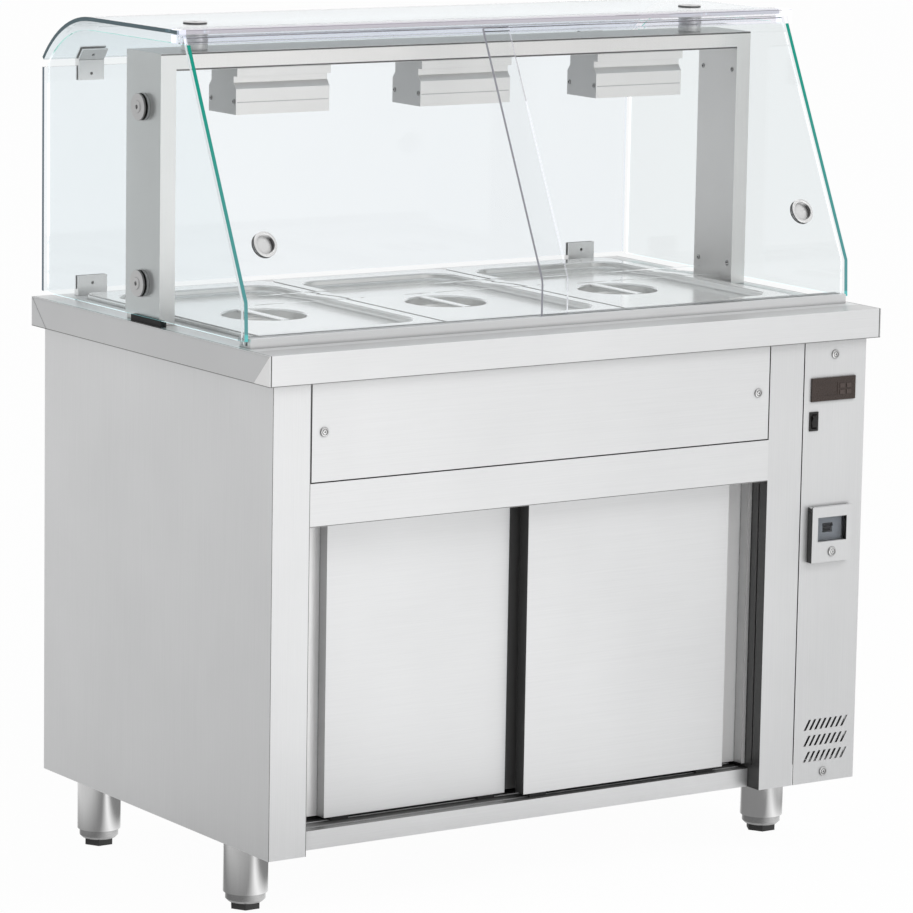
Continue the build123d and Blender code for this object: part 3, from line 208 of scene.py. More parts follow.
class BainMarieFinishes(bpy.types.PropertyGroup):
    """Colours of the finishes, and the gloss of the brushed sheet."""
    steel: colour("Brushed stainless sheet", 0.82, 0.825, 0.83)
    steel_rough: share("Roughness of the brushed sheet", 0.36)
    steel_metal: share("Share of the brushed sheet's light that is mirrored", 0.6)
    pressed: colour("Bright stainless of the pans and lids", 0.93, 0.93, 0.92)
    column: colour("Control panel, its hatch and the stile beside it", 0.77, 0.775, 0.78)
    # Painted reflection: the counter strip in front of the sill rail is darker, as it mirrors the rail's
    # front
    front_strip_reflection: colour("Counter in front of the sill rail", 0.66)
    # Painted shade on the side aprons of the counter
    apron_side_shade: colour("Side aprons of the counter", 0.70, 0.705, 0.71)
    # Painted light on the folded front corners of the side aprons
    ear_light: colour("Folded front corners of the side aprons", 1.0)
    joint_shadow: colour("Fine shadow lines where sheets meet", 0.16)
    # Painted shade, near black, on the sides of the hatch and the slots
    hatch_side_shade: colour("Sides of the hatch and the slots", 0.06)
    # Painted light and shade on the canopy frame: front faces lighter than the sheet, sides and the beam's
    # upper face darker
    frame: colour("Front faces of the canopy frame", 0.97, 0.955, 0.94)
    frame_top_shade: colour("Upper face of the canopy frame's beam", 0.52, 0.515, 0.51)
    frame_side_shade: colour("Side faces of the canopy frame", 0.72, 0.71, 0.70)
    # Painted dark reflection along the rounded upper and lower edges of the canopy frame's beam
    beam_edge_reflection: colour("Rounded edges of the canopy frame's beam", 0.16)
    bracket: colour("Brackets and clips of the rear glass", 0.96, 0.955, 0.95)
    # Painted shade on the walls of the door grips and of the screws that look to the left
    grip: colour("Walls of the door grips and of the screws", 0.46)
    # Painted light: the grip floors and lips, which lie in shade, brighter than the sheet
    grip_floor_light: colour("Floors and lips of the door grips", 1.0)
    # Painted shade, near black, on the folded returns in the door opening and on lines at the front corners
    return_shade: colour("Folded edges in the door opening and at corners", 0.09)
    # Painted shade under the doors on the bottom rail, and on the strip where the left door runs behind the
    # right
    track: colour("Upper face of the bottom rail, and the doors' overlap", 0.30)
    polish: colour("Leg tubes and collars of the feet", 0.95)
    foot: colour("Hexagon of the adjustable feet", 0.10)
    turned: colour("Screws", 0.80)
    standoff: colour("Satin caps and spacers of the standoffs", 0.62)
    standoff_metal: share("Share of the standoffs' light that is mirrored", 0.4)
    standoff_rim: colour("Rims of the standoffs' caps", 0.28)
    cup: colour("Bright steel of the finger cups", 0.92)
    cup_wall: colour("Shaded walls of the finger cups", 0.10)
    # On the roof standoffs' feet this colour is painted light, lighter than their satin steel
    lamp: colour("Satin sheet of the lamps, and the roof standoffs' feet", 0.98, 0.97, 0.96)
    lamp_line: colour("Fine level line along the lamp housings", 0.60)
    lamp_end: colour("Darker end plates of the lamps", 0.55)
    quartz: colour("Frosted lamp tubes", 0.80, 0.77, 0.70)
    glass: colour("Body of the sliding panes", 0.984, 0.990, 0.994)
    glass_side: colour("Body of the side glasses", 0.90, 0.932, 0.940)
    glass_rear: colour("Body of the rear glass", 0.920, 0.950, 0.970)
    glass_roof: colour("Body of the bent top glass", 0.84, 0.90, 0.93)
    glass_edge: colour("Cut edges of the side and front glass", 0.10, 0.55, 0.46)
    edge_glow: colour("Light at the upper cut edges of the side glass", 0.012, 0.31, 0.235)
    foot_glow: colour("Light at the lower cut edges of the side glass", 0.10, 0.31, 0.32)
    pale_glow: colour("Light at cut edges that meet another sheet", 0.72, 0.75, 0.77)
    pane_glow: colour("Light at the inner ends of the panes", 0.26, 0.26, 0.29)
    rear_glow: colour("Light at the ends of the rear glass", 0.09, 0.12, 0.15)
    roof_edge: colour("Cut edges of the bent top glass", 0.10, 0.16, 0.19)
    roof_glow: colour("Light at the cut edges of the bent top glass", 0.05, 0.085, 0.10)
    lip_glow: colour("Light at the front edge of the bent top glass", 0.55, 0.53, 0.57)
    rail: colour("Clear extruded rail", 0.965, 0.96, 0.98)
    rail_glow: colour("Light at the ends of the clear rail", 0.34, 0.37, 0.45)
    # Painted groove shade along the upper edges of the panes and of the clear rail
    groove_shade: colour("Upper edges of the panes and the clear rail", 0.34, 0.32, 0.35)
    window: colour("Tinted hatch window", 0.85, 0.88, 0.93)
    black: colour("Switch, breaker toggle and cable gland", 0.012, 0.011, 0.011)
    controller: colour("Dark front of the controller", 0.040, 0.027, 0.022)
    key: colour("Soft keys of the controller", 0.070, 0.052, 0.046)
    # Painted shade: the glides are coloured near black, as the shade under the doors
    nylon: colour("Door glides", 0.03)
    moulding: colour("Body of the breaker", 0.45, 0.46, 0.46)
    pad: colour("Rubber blocks under the side glasses", 0.018)
    brass: colour("Cast drain valve", 0.55, 0.40, 0.16)
    sheath: colour("Heat-tinted heater tubes", 0.16, 0.14, 0.13)


class BainMariePressings(bpy.types.PropertyGroup):
    """Sizes of the pressed lids and pans."""
    sheet: length("Thickness of the pressed sheet", 0.0012)
    border: length("Flat border along a lid's long sides", 0.0225)
    border_end: length("Flat border along a lid's short sides", 0.0435)
    panel_corner: length("Corner radius of a lid's sunk panel", 0.040)
    recess: length("Depth of a lid's sunk panel", 0.010)
    dish_radius: length("Radius of the grip dish", 0.0625)
    dish_depth: length("Depth of the grip dish under the panel", 0.022)
    bridge_width: length("Width of the bar across the dish", 0.016)
    bridge_height: length("Height of the bar across the dish", 0.004)
    lid_corner: length("Outer corner radius of a lid", 0.0205)
    rim: length("Width of a pan's rim", 0.012)
    rim_height: length("Height of a pan's turned-down rim", 0.006)
    rim_corner: length("Outer corner radius of a pan's rim", 0.022)
    pan_corner: length("Corner radius of a pan's mouth", 0.0388)
    pan_taper: angle("Slope of a pan's walls", 3.0)


class BainMarieFittings(bpy.types.PropertyGroup):
    """Places of the turned fittings."""
    access_inset: length("From an end of the access panel to its screw", 0.0204)
    control_x: length("Middle of the control panel", 0.475)
    control_top: length("From the control panel's top to its upper screw", 0.0224)
    control_base: length("From the control panel's base to its lower screw", 0.016)
    hatch_head: length("Height of the hatch screw's core", 0.002)
    hatch_rise: length("From the hatch's base to its screw", 0.016)
    post_width: length("Width of a canopy post", 0.026)
    post_spread: length("Post screws on either side of the middle", 0.038)
    post_low: length("From a post's foot to its lower screws", 0.033)
    post_drop: length("From the frame's top to the upper screws", 0.060)
    lamp_half: length("Half the length of a lamp", 0.08125)
    lamp_screw_y: length("End-plate screws on either side of the middle", 0.033)
    lamp_screw_rise: length("From a lamp's underside to its screws", 0.0195)
    lamp_pitch: length("From one lamp to the next", 0.325)
    standoff_low: length("Lower standoffs over the counter", 0.058)
    standoff_drop: length("Upper standoffs under the frame's top", 0.081)
    roof_inset: length("Roof standoffs from the counter's end", 0.0985)
    pane_slope: angle("Lean of the sliding panes", 25.2)


class BainMarieStage(bpy.types.PropertyGroup):
    """Camera, floor and light."""
    camera: FloatVectorProperty(name="Camera", description="Place of the camera", size=3, unit="LENGTH",
                                default=(-4.0324, -6.0364, 1.8468))
    turn: angle("Camera's turn to the object's left", -33.766)
    tilt: angle("How far the camera looks down", 9.669)
    roll: angle("Camera's roll", -0.994)
    lens: FloatProperty(name="Lens", description="Focal length in millimetres", default=188.195)
    floor_radius: length("Radius of the floor", 30.0)
    floor_white: share("Share of the floor that is plain backdrop white", 0.97)
    contact: length("Reach of the floor with the strips that the legs mirror", 1.0)
    strip_middle: length("Middle between the two bright strips", 0.07)
    strip_spread: length("Each strip from that middle", 0.48)
    strip_half: length("From a strip's middle to the dark floor", 0.13)
    fill: strength("Even light on matt surfaces", 0.62)
    band: strength("Reflected brightness half way up", 0.40)
    zenith: strength("Reflected brightness overhead", 0.95)
    key_power: strength("Power of the large soft lamp", 110.0)


# Meshes from arrays
def rounded_radius(half_x, half_y, corner, phi):
    """Polar radius of a rounded rectangle: the nearer side along the ray, or the far root of the ray with the
    corner circle, where the ray passes between the two straight sides."""
    c = np.abs(np.cos(phi))
    s = np.abs(np.sin(phi))
    side = half_x / np.maximum(c, 1e-9)
    end = half_y / np.maximum(s, 1e-9)
    cx = half_x - corner
    cy = half_y - corner
    along = c * cx + s * cy
    arc = along + np.sqrt(np.maximum(along ** 2 - cx ** 2 - cy ** 2 + corner ** 2, 0))
    return np.where(side * s <= cy, side, np.where(end * c <= cx, end, arc))


def ring_angles(diagonal, steps=72, reach=0.2, near_steps=41):
    """Angles round a rounded rectangle, closer together about its four corners."""
    even = np.linspace(0, 2 * np.pi, steps + 1)[:-1]
    near = np.linspace(-reach, reach, near_steps)
    turns = (diagonal, np.pi - diagonal, np.pi + diagonal, 2 * np.pi - diagonal)
    return np.unique(np.round(np.concatenate([even, *[turn + near for turn in turns]]), 5))


def filleted(stations, fillets, steps=6, most=0.42, guard=1.15):
    """Stations (half x, half y, corner, z) joined by straight runs, with every inner corner B rounded by the
    curve (1-t)^2 A + 2t(1-t) B + t^2 C from a fillet's length before it to a fillet's length after it. A
    fillet takes at most a given share of its run, and a guard row stands just outside each end."""
    t = np.linspace(0, 1, steps)[:, None]
    rows = [stations[:1]]
    for before, corner, after, size in zip(stations, stations[1:], stations[2:], fillets):
        ends = []
        for other in (before, after):
            run = other - corner
            reach = max(np.hypot(run[0], run[3]), 1e-9)
            ends.append((run, min(most, size / reach)))
        (back, b), (on, o) = ends
        a_point = corner + back * b
        c_point = corner + on * o
        rows.append(corner[None] + back[None] * b * guard)
        rows.append((1 - t) ** 2 * a_point + 2 * t * (1 - t) * corner + t ** 2 * c_point)
        rows.append(corner[None] + on[None] * o * guard)
    rows.append(stations[-1:])
    return np.concatenate(rows)


def pressed_rings(centre, profile, sheet, phi):
    """Rings of a pressed sheet: each profile row is a rounded rectangle at a height. The underside is the
    same profile moved by the sheet along its normal, (dz, -dx) for a run (dx, dz)."""
    run = np.gradient(profile, axis=0)
    size = np.maximum(np.hypot(run[:, 0], run[:, 3]), 1e-9)
    aside = run[:, 3] / size * sheet
    under = profile + np.stack([aside, aside, aside, -run[:, 0] / size * sheet], axis=1)
    both = np.concatenate([profile, under[::-1]])
    rho = rounded_radius(both[:, 0:1], both[:, 1:2], both[:, 2:3], phi[None])
    x = centre[0] + rho * np.cos(phi)
    y = centre[1] + rho * np.sin(phi)
    return np.stack([x, y, np.broadcast_to(both[:, 3:4], x.shape)], axis=2)


def turned_rings(profile, count=48, flats=0):
    """Rings of a turned shape: rows of radius and height about +Z. From row number -flats on, the radius is a
    hexagon's, apothem / cos(angle to the nearest flat)."""
    phi = np.linspace(0, 2 * np.pi, count, endpoint=False)
    rows = np.array(profile)
    radius = np.repeat(rows[:, 0:1], count, axis=1)
    if flats:
        sector = np.mod(phi, np.pi / 3) - np.pi / 6
        radius[-flats:] = radius[-flats:] / np.cos(sector)
    height = np.repeat(rows[:, 1:2], count, axis=1)
    return np.stack([radius * np.cos(phi), radius * np.sin(phi), height], axis=2)


def bar_rings(start, end, half_x, half_z, corner, count=32):
    """Two rings of a straight bar along Y: a rounded rectangle in X and Z at its start and at its end."""
    phi = np.linspace(0, 2 * np.pi, count, endpoint=False)
    rho = rounded_radius(half_x, half_z, corner, phi)
    section = np.stack([rho * np.cos(phi), np.zeros(count), rho * np.sin(phi)], axis=1)
    return np.array([start, end])[:, None] + section[None]


def placed(rings, origin, axis):
    """Rings about +Z moved so that +Z lies along an axis."""
    turn = np.array(Vector((0, 0, 1)).rotation_difference(Vector(axis)).to_matrix())
    return rings @ turn.T + np.array(origin)


def ring_faces(rings, first):
    """Quads between neighbouring rings, and one flat face over the first ring and one over the last."""
    rows, count = rings.shape[:2]
    index = first + np.arange(rows * count).reshape(rows, count)
    ahead = np.roll(index, -1, axis=1)
    quads = np.stack([index[:-1], ahead[:-1], ahead[1:], index[1:]], axis=2).reshape(-1, 4)
    return quads.tolist() + [index[0, ::-1].tolist(), index[-1].tolist()]


def add_piece(name, parts, material, body, slot, *nodes):
    """One object from several closed ring shapes. It rides on a body, takes a slot and replaces CAD nodes."""
    points = []
    faces = []
    for rings in parts:
        faces += ring_faces(rings, sum(len(block) for block in points))
        points.append(rings.reshape(-1, 3))
    mesh = bpy.data.meshes.new(name)
    mesh.from_pydata(np.concatenate(points).tolist(), [], faces)
    mesh.validate()
    mesh.polygons.foreach_set("use_smooth", np.ones(len(mesh.polygons), bool))
    mesh.set_sharp_from_angle(angle=SHARP_EDGE)
    mesh.materials.append(material)
    piece = bpy.data.objects.new(name, mesh)
    bpy.context.scene.collection.objects.link(piece)
    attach(piece, body)
    if nodes:
        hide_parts(*nodes)


# Shader node groups and materials
def new_group(name, inputs, outputs):
    """Empty shader group with named sockets, given as (name, kind) or (name, kind, default)."""
    tree = bpy.data.node_groups.new(name, "ShaderNodeTree")
    for way, sockets in (("INPUT", inputs), ("OUTPUT", outputs)):
        for label, kind, *default in sockets:
            socket = tree.interface.new_socket(label, in_out=way, socket_type=kind)
            if default:
                socket.default_value = default[0]
    return tree, tree.nodes.new("NodeGroupInput"), tree.nodes.new("NodeGroupOutput")


def node(tree, kind, **values):
    """New node. Keys that name an input set or link that input, the others set a property."""
    made = tree.nodes.new(kind)
    for key, value in values.items():
        if hasattr(made, key):
            setattr(made, key, value)
    for key, value in values.items():
        if not hasattr(made, key):
            plug(tree, made, key, value)
    return made


def plug(tree, made, key, value):
    """Sets an input by name, or by number as i0, i1, or links it where the value is a socket."""
    socket = made.inputs[int(key[1:])] if key[0] == "i" and key[1:].isdigit() else made.inputs[key]
    if isinstance(value, bpy.types.NodeSocket):
        tree.links.new(value, socket)
    else:
        socket.default_value = value


def math_node(tree, operation, *values):
    """Output of a Math node."""
    return node(tree, "ShaderNodeMath", operation=operation,
                **{f"i{k}": value for k, value in enumerate(values)}).outputs[0]


def spread(tree, value, low, high, out_low=0.0, out_high=1.0):
    """Value carried from one range to another, held at its ends."""
    return node(tree, "ShaderNodeMapRange", i0=value, i1=low, i2=high, i3=out_low, i4=out_high).outputs[0]


def mixed(tree, factor, first, second):
    """Colour between two colours."""
    return node(tree, "ShaderNodeMix", data_type="RGBA", i0=factor, i6=first, i7=second).outputs[2]


def axes(tree, vector):
    """X, Y and Z of a vector."""
    return node(tree, "ShaderNodeSeparateXYZ", Vector=vector).outputs


def solid(rgb):
    """Colour with full alpha."""
    return (*rgb, 1.0)


def scaled(rgb, factor):
    """Colour times a factor, with full alpha."""
    return (*[min(1.0, part * factor) for part in rgb], 1.0)


def brushed_group():
    """Brushed Grain: fine streaks stretched along one direction, and soft wide clouds."""
    tree, into, out = new_group(
        "Brushed Grain",
        [("Vector", "NodeSocketVector"), ("Stretch", "NodeSocketVector"),
         ("Cloud Scale", "NodeSocketFloat", 5.0)],
        [("Streak", "NodeSocketFloat"), ("Cloud", "NodeSocketFloat")])
    lines = node(tree, "ShaderNodeVectorMath", operation="MULTIPLY",
                 i0=into.outputs["Vector"], i1=into.outputs["Stretch"]).outputs[0]
    streak = node(tree, "ShaderNodeTexNoise", Vector=lines, Scale=1.0, Detail=4.0, Roughness=0.65)
    cloud = node(tree, "ShaderNodeTexNoise", Vector=into.outputs["Vector"], Scale=into.outputs["Cloud Scale"],
                 Detail=2.0, Roughness=0.5)
    plug(tree, out, "Streak", spread(tree, streak.outputs[0], *STREAK_SPAN))
    plug(tree, out, "Cloud", spread(tree, cloud.outputs[0], *NOISE_SPAN))
    return tree


def facing_group():
    """Facing: how far a face looks along +X or -X, along -X alone, or up, from the piece's own normal."""
    tree, into, out = new_group("Facing", [("Normal", "NodeSocketVector")],
                                [("Across", "NodeSocketFloat"), ("Leftward", "NodeSocketFloat"),
                                 ("Upward", "NodeSocketFloat")])
    x, _, z = axes(tree, into.outputs["Normal"])
    plug(tree, out, "Upward", spread(tree, z, *FACING))
    plug(tree, out, "Across", spread(tree, math_node(tree, "ABSOLUTE", x), *FACING))
    plug(tree, out, "Leftward", spread(tree, x, *[-part for part in FACING]))
    return tree


def ring_group(name, stops, gain):
    """Brightness of the studio by direction round the object, from stops of turn and level."""
    tree, into, out = new_group(name, [("Vector", "NodeSocketVector")], [("Glow", "NodeSocketFloat")])
    turn = node(tree, "ShaderNodeTexGradient", gradient_type="RADIAL", Vector=into.outputs["Vector"])
    ramp = node(tree, "ShaderNodeValToRGB", Fac=turn.outputs[1])
    ramp.color_ramp.interpolation = "B_SPLINE"
    elements = ramp.color_ramp.elements
    elements[0].position = stops[0][0]
    elements[1].position = stops[-1][0]
    for place, _ in stops[1:-1]:
        elements.new(place)
    for element, (_, level) in zip(elements, stops):
        element.color = (level, level, level, 1.0)
    plug(tree, out, "Glow", math_node(tree, "MULTIPLY", ramp.outputs[0], gain))
    return tree


def floor_ring():
    """Floor Ring: brightest to the front right, dimmer at the left and the back, dark front left."""
    stops = ((0.0, 0.42), (0.07, 0.33), (0.16, 0.27), (0.22, 0.63), (0.27, 1.0), (0.322, 1.0), (0.35, 0.53),
             (0.40, 0.39), (0.48, 0.46), (0.56, 0.44), (0.66, 0.32), (0.76, 0.50), (0.84, 0.61), (0.88, 0.48),
             (1.0, 0.42))
    return ring_group("Floor Ring", stops, gain=1.36)


def sky_ring():
    """Sky Ring: bright at the back, dim towards the front."""
    stops = ((0.0, 0.46), (0.08, 0.32), (0.16, 0.28), (0.24, 0.66), (0.31, 1.0), (0.35, 0.66), (0.40, 0.50),
             (0.48, 0.60), (0.56, 0.95), (0.66, 1.0), (0.76, 0.90), (0.86, 0.62), (1.0, 0.46))
    return ring_group("Sky Ring", stops, gain=1.10)


def once(builder):
    """The group that a builder makes, made on first use."""
    name = builder.__doc__.split(":")[0]
    return bpy.data.node_groups.get(name) or builder()


def use_group(tree, builder, **values):
    """A group node with its inputs set."""
    made = tree.nodes.new("ShaderNodeGroup")
    made.node_tree = once(builder)
    for key, value in values.items():
        plug(tree, made, key, value)
    return made


def new_material(name, **values):
    """Material with a Principled shader, its plain sockets set, and a piece's own coordinates."""
    material = bpy.data.materials.new(name)
    material.use_nodes = True
    tree = material.node_tree
    shader = tree.nodes["Principled BSDF"]
    for key, value in values.items():
        plug(tree, shader, key.replace("_", " "), value)
    return material, tree, shader, tree.nodes.new("ShaderNodeTexCoord").outputs


def bumped(tree, shader, height, depth, amount):
    """Small relief from a height."""
    bump = node(tree, "ShaderNodeBump", Height=height, Distance=depth, Strength=amount)
    plug(tree, shader, "Normal", bump.outputs[0])


def crease_shade(tree, reach, closed=0.35, clear=0.95, shade=0.45):
    """Mask of inner corners: dark where another surface lies within reach."""
    shut = node(tree, "ShaderNodeAmbientOcclusion", samples=6, Distance=reach).outputs["AO"]
    return spread(tree, shut, closed, clear, shade, 1.0)


def lined(tree, place, tone, lines):
    """Tone with fine lines. Each is an axis, its place along it, half its thickness, its colour, and how far
    it goes to either side along X. A place above zero is drawn on both sides of the middle."""
    spot = axes(tree, place["Object"])
    for axis, at, half, rgb, *stop in lines:
        run = stop[0] if stop else FULL_RUN
        where = math_node(tree, "ABSOLUTE", spot[axis]) if at > 0 else spot[axis]
        away = math_node(tree, "ABSOLUTE", math_node(tree, "SUBTRACT", where, at))
        near = spread(tree, away, half, half - SOFT)
        within = spread(tree, math_node(tree, "ABSOLUTE", spot[0]), run, run - 2 * SOFT)
        tone = mixed(tree, math_node(tree, "MULTIPLY", near, within), tone, solid(rgb))
    return tone


def brushed(name, rgb, stretch, rough=None, side=None, crown=None, walls=None, ears=None, lines=(),
            contrast=0.03, metal=1.0, relief=0.06):
    """Brushed metal. Streaks, clouds and creases vary its colour and roughness. Side is the colour of faces
    across X, ears of their folded upper corners and crown of faces that look up. Walls are the colours of
    faces that look along -X, left and right of the middle, or one colour for both."""
    material, tree, shader, place = new_material(name, Metallic=metal)
    rough = rough or ROUGHNESS[name]
    grain = use_group(tree, brushed_group, Vector=place["Object"], Stretch=stretch)
    tone = mixed(tree, grain.outputs["Streak"], scaled(rgb, 1 - contrast), scaled(rgb, 1 + contrast))
    facing = use_group(tree, facing_group, Normal=place["Normal"])
    if side:
        flank = solid(side)
        if ears:
            _, y, z = axes(tree, place["Object"])
            fold = math_node(tree, "ADD", y, z)
            flank = mixed(tree, spread(tree, fold, *EAR_FOLD), flank, solid(ears))
        tone = mixed(tree, facing.outputs["Across"], tone, flank)
    if crown:
        tone = mixed(tree, facing.outputs["Upward"], tone, solid(crown))
    tone = lined(tree, place, tone, lines)
    if walls:
        x = axes(tree, place["Object"])[0]
        wall = mixed(tree, spread(tree, x, *WALL_CHANGE), solid(walls[0]), solid(walls[-1]))
        tone = mixed(tree, facing.outputs["Leftward"], tone, wall)
    clouds = spread(tree, grain.outputs["Cloud"], 0.0, 1.0, *CLOUD_SHADES)
    # Painted shade: the clouds' tone falls further in inner corners
    clouds_and_shade = math_node(tree, "MULTIPLY", clouds, crease_shade(tree, REACH.get(name, SHEET_REACH)))
    clouded_and_shaded = node(tree, "ShaderNodeVectorMath", operation="SCALE", i0=tone, Scale=clouds_and_shade)
    plug(tree, shader, "Base Color", clouded_and_shaded.outputs[0])
    low, high = (rough * part for part in BRUSHED_GLOSS)
    plug(tree, shader, "Roughness", spread(tree, grain.outputs["Streak"], 0.0, 1.0, low, high))
    bumped(tree, shader, grain.outputs["Streak"], GRAIN_DEPTH, relief)
    return material


def moulded(name, rgb, relief=0.15):
    """Moulded plastic or rubber with a fine even texture."""
    material, tree, shader, place = new_material(name)
    fine, wide = (node(tree, "ShaderNodeTexNoise", Vector=place["Object"], Scale=size, Detail=2.0).outputs[0]
                  for size in (MOULDED_FINE, MOULDED_WIDE))
    plug(tree, shader, "Base Color", mixed(tree, wide, *[scaled(rgb, part) for part in MOULDED_SHADES]))
    low, high = (ROUGHNESS[name] * part for part in MOULDED_GLOSS)
    plug(tree, shader, "Roughness", spread(tree, fine, *NOISE_SPAN, low, high))
    bumped(tree, shader, fine, GRAIN_DEPTH, relief)
    return material


def glazed(name, rgb, edge, across, glow=(0.0, 0.0, 0.0), glows=(), lines=(), ior=1.33, lip=None):
    """Clear sheet. Its cut edges take the edge colour and glow: faces across X where across is true, else all
    others. Glows are other lights of the edges: an axis, where along it the light begins and is full, on both
    sides of the middle, and its colour. Lip is the place of the front edge along Y, and its light."""
    material, tree, shader, place = new_material(name, Roughness=0.0, IOR=ior, Transmission_Weight=1.0,
                                                 Emission_Strength=1.0)
    facing = use_group(tree, facing_group, Normal=place["Normal"]).outputs["Across"]
    mask = facing if across else math_node(tree, "SUBTRACT", 1.0, facing)
    ripple = node(tree, "ShaderNodeTexNoise", Vector=place["Object"], Scale=GLASS_WAVES).outputs[0]
    clear = mixed(tree, ripple, *[scaled(rgb, part) for part in GLASS_SHADES])
    plug(tree, shader, "Base Color", mixed(tree, mask, lined(tree, place, clear, lines), solid(edge)))
    spot = axes(tree, place["Object"])
    light = solid(glow)
    for axis, begin, full, other in glows:
        away = math_node(tree, "ABSOLUTE", spot[axis])
        light = mixed(tree, spread(tree, away, begin, full), light, solid(other))
    light = mixed(tree, mask, solid((0.0, 0.0, 0.0)), light)
    if lip:
        light = mixed(tree, spread(tree, spot[1], lip[0] + 2 * SOFT, lip[0]), light, solid(lip[1]))
    plug(tree, shader, "Emission Color", light)
    return material


def dress(material, *names):
    """Gives CAD nodes a material."""
    for name in names:
        held = frame["nodes"][name].data.materials
        held.clear()
        held.append(material)


# Operators
class BAINMARIE_OT_steelwork(bpy.types.Operator):
    """Brushed stainless on the counter, the cabinet, the doors and the tank"""
    bl_idname = "bainmarie.steelwork"
    bl_label = "Steelwork"

    def execute(self, context):
        look = context.scene.bain_marie_finishes
        sheet = {"rgb": look.steel, "rough": look.steel_rough, "metal": look.steel_metal}
        dress(brushed("stainless_level", stretch=ALONG_X, **sheet), "access_panel", "sill_rail", "water_tank",
              "pan_bars", "back_panel", "cabinet_floor", "drain_lever")
        # Painted shade on the bottom rail's upper face under the doors
        dress(brushed("stainless_track", stretch=ALONG_X, crown=look.track, **sheet), "bottom_rail")
        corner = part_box("left_side_panel")[0].x
        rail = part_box("header_rail")[0]
        # Painted shade: a near-black line at the side panels' front corners, and a shadow line beside the
        # header rail
        side_panel_shade = ((0, corner + HAIR_INSET, HAIR, look.return_shade),
                 (0, rail.x - HAIR, HAIR, look.joint_shadow))
        dress(brushed("stainless_upright", stretch=ALONG_Z, lines=side_panel_shade, **sheet),
              "left_side_panel", "right_side_panel")
        # Painted shadow line along the header rail's lower edge
        hem_shadow = ((2, rail.z + HAIR_INSET, HAIR, look.joint_shadow),)
        dress(brushed("stainless_header", stretch=ALONG_X, lines=hem_shadow, **sheet), "header_rail")
        base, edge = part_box("counter_top")
        # Painted on the counter: the sill rail's reflection on the front strip, shade at the front corners
        # and under the apron's lower edge, shade on the side aprons and light on their folded ears
        counter_shading = ((1, FRONT_INSET - edge.y, FRONT_HALF, look.front_strip_reflection, edge.x - FRONT_STOP),
                 (0, edge.x - CORNER_INSET, CORNER_HALF, look.return_shade),
                 (2, base.z + HAIR, HAIR, look.joint_shadow))
        dress(brushed("stainless_counter", stretch=ALONG_X, side=look.apron_side_shade, ears=look.ear_light, lines=counter_shading,
                      **sheet), "counter_top")
        self.doors(look, sheet)
        sheet["rgb"] = look.column
        # Painted shade on the faces across X of the control panel and the hatch
        dress(brushed("stainless_column", stretch=ALONG_Z, side=look.hatch_side_shade, **sheet), "control_panel")
        dress(brushed("stainless_hatch", stretch=ALONG_Z, side=look.hatch_side_shade, **sheet), "hatch_door")
        # Painted shade on the stile's returns in the door opening
        inside = ((1, RETURN_Y, RETURN_HALF, look.return_shade, RETURN_RUN),)
        dress(brushed("stainless_stile", stretch=ALONG_Z, walls=(look.return_shade,), lines=inside, **sheet),
              "partition")
        return {"FINISHED"}

    def doors(self, look, sheet):
        """Bright grips at the outer ends, and a shaded strip where the left door runs behind the right."""
        low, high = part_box("left_door")
        grip = (0, -low.x - GRIP_HALF, GRIP_HALF, look.grip_floor_light)
        lap = (0, high.x - LAP_INSET, LAP_HALF, look.track)
        dress(brushed("stainless_left_door", stretch=ALONG_X, walls=(look.grip,), lines=(grip, lap), **sheet),
              "left_door")
        grip = (0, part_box("right_door")[1].x - GRIP_HALF, GRIP_HALF, look.grip_floor_light)
        dress(brushed("stainless_right_door", stretch=ALONG_X, walls=(look.return_shade, look.grip),
                      lines=(grip,), **sheet), "right_door")


class BAINMARIE_OT_canopy_frame(bpy.types.Operator):
    """Brushed stainless posts and beam, and the rubber blocks beside them"""
    bl_idname = "bainmarie.canopy_frame"
    bl_label = "Canopy Frame"

    def execute(self, context):
        look = context.scene.bain_marie_finishes
        at = context.scene.bain_marie_fittings
        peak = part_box("canopy_frame")[1]
        under = peak.z - at.post_width
        # Painted dark reflection along the beam's upper and lower edges
        lines = ((2, peak.z - BEAM_INSET, BEAM_HALF, look.beam_edge_reflection, peak.x),
                 (2, under + BEAM_INSET, BEAM_HALF, look.beam_edge_reflection, peak.x - at.post_width))
        # Painted light on the frame's front faces, painted shade on its sides and on the beam's upper face
        dress(brushed("stainless_frame", look.frame, ALONG_Z, look.steel_rough, side=look.frame_side_shade,
                      crown=look.frame_top_shade, lines=lines), "canopy_frame")
        dress(brushed("stainless_brackets", look.bracket, ALONG_X, look.steel_rough), "rear_glass_brackets")
        dress(moulded("pad_rubber", look.pad), "glass_pads")
        return {"FINISHED"}


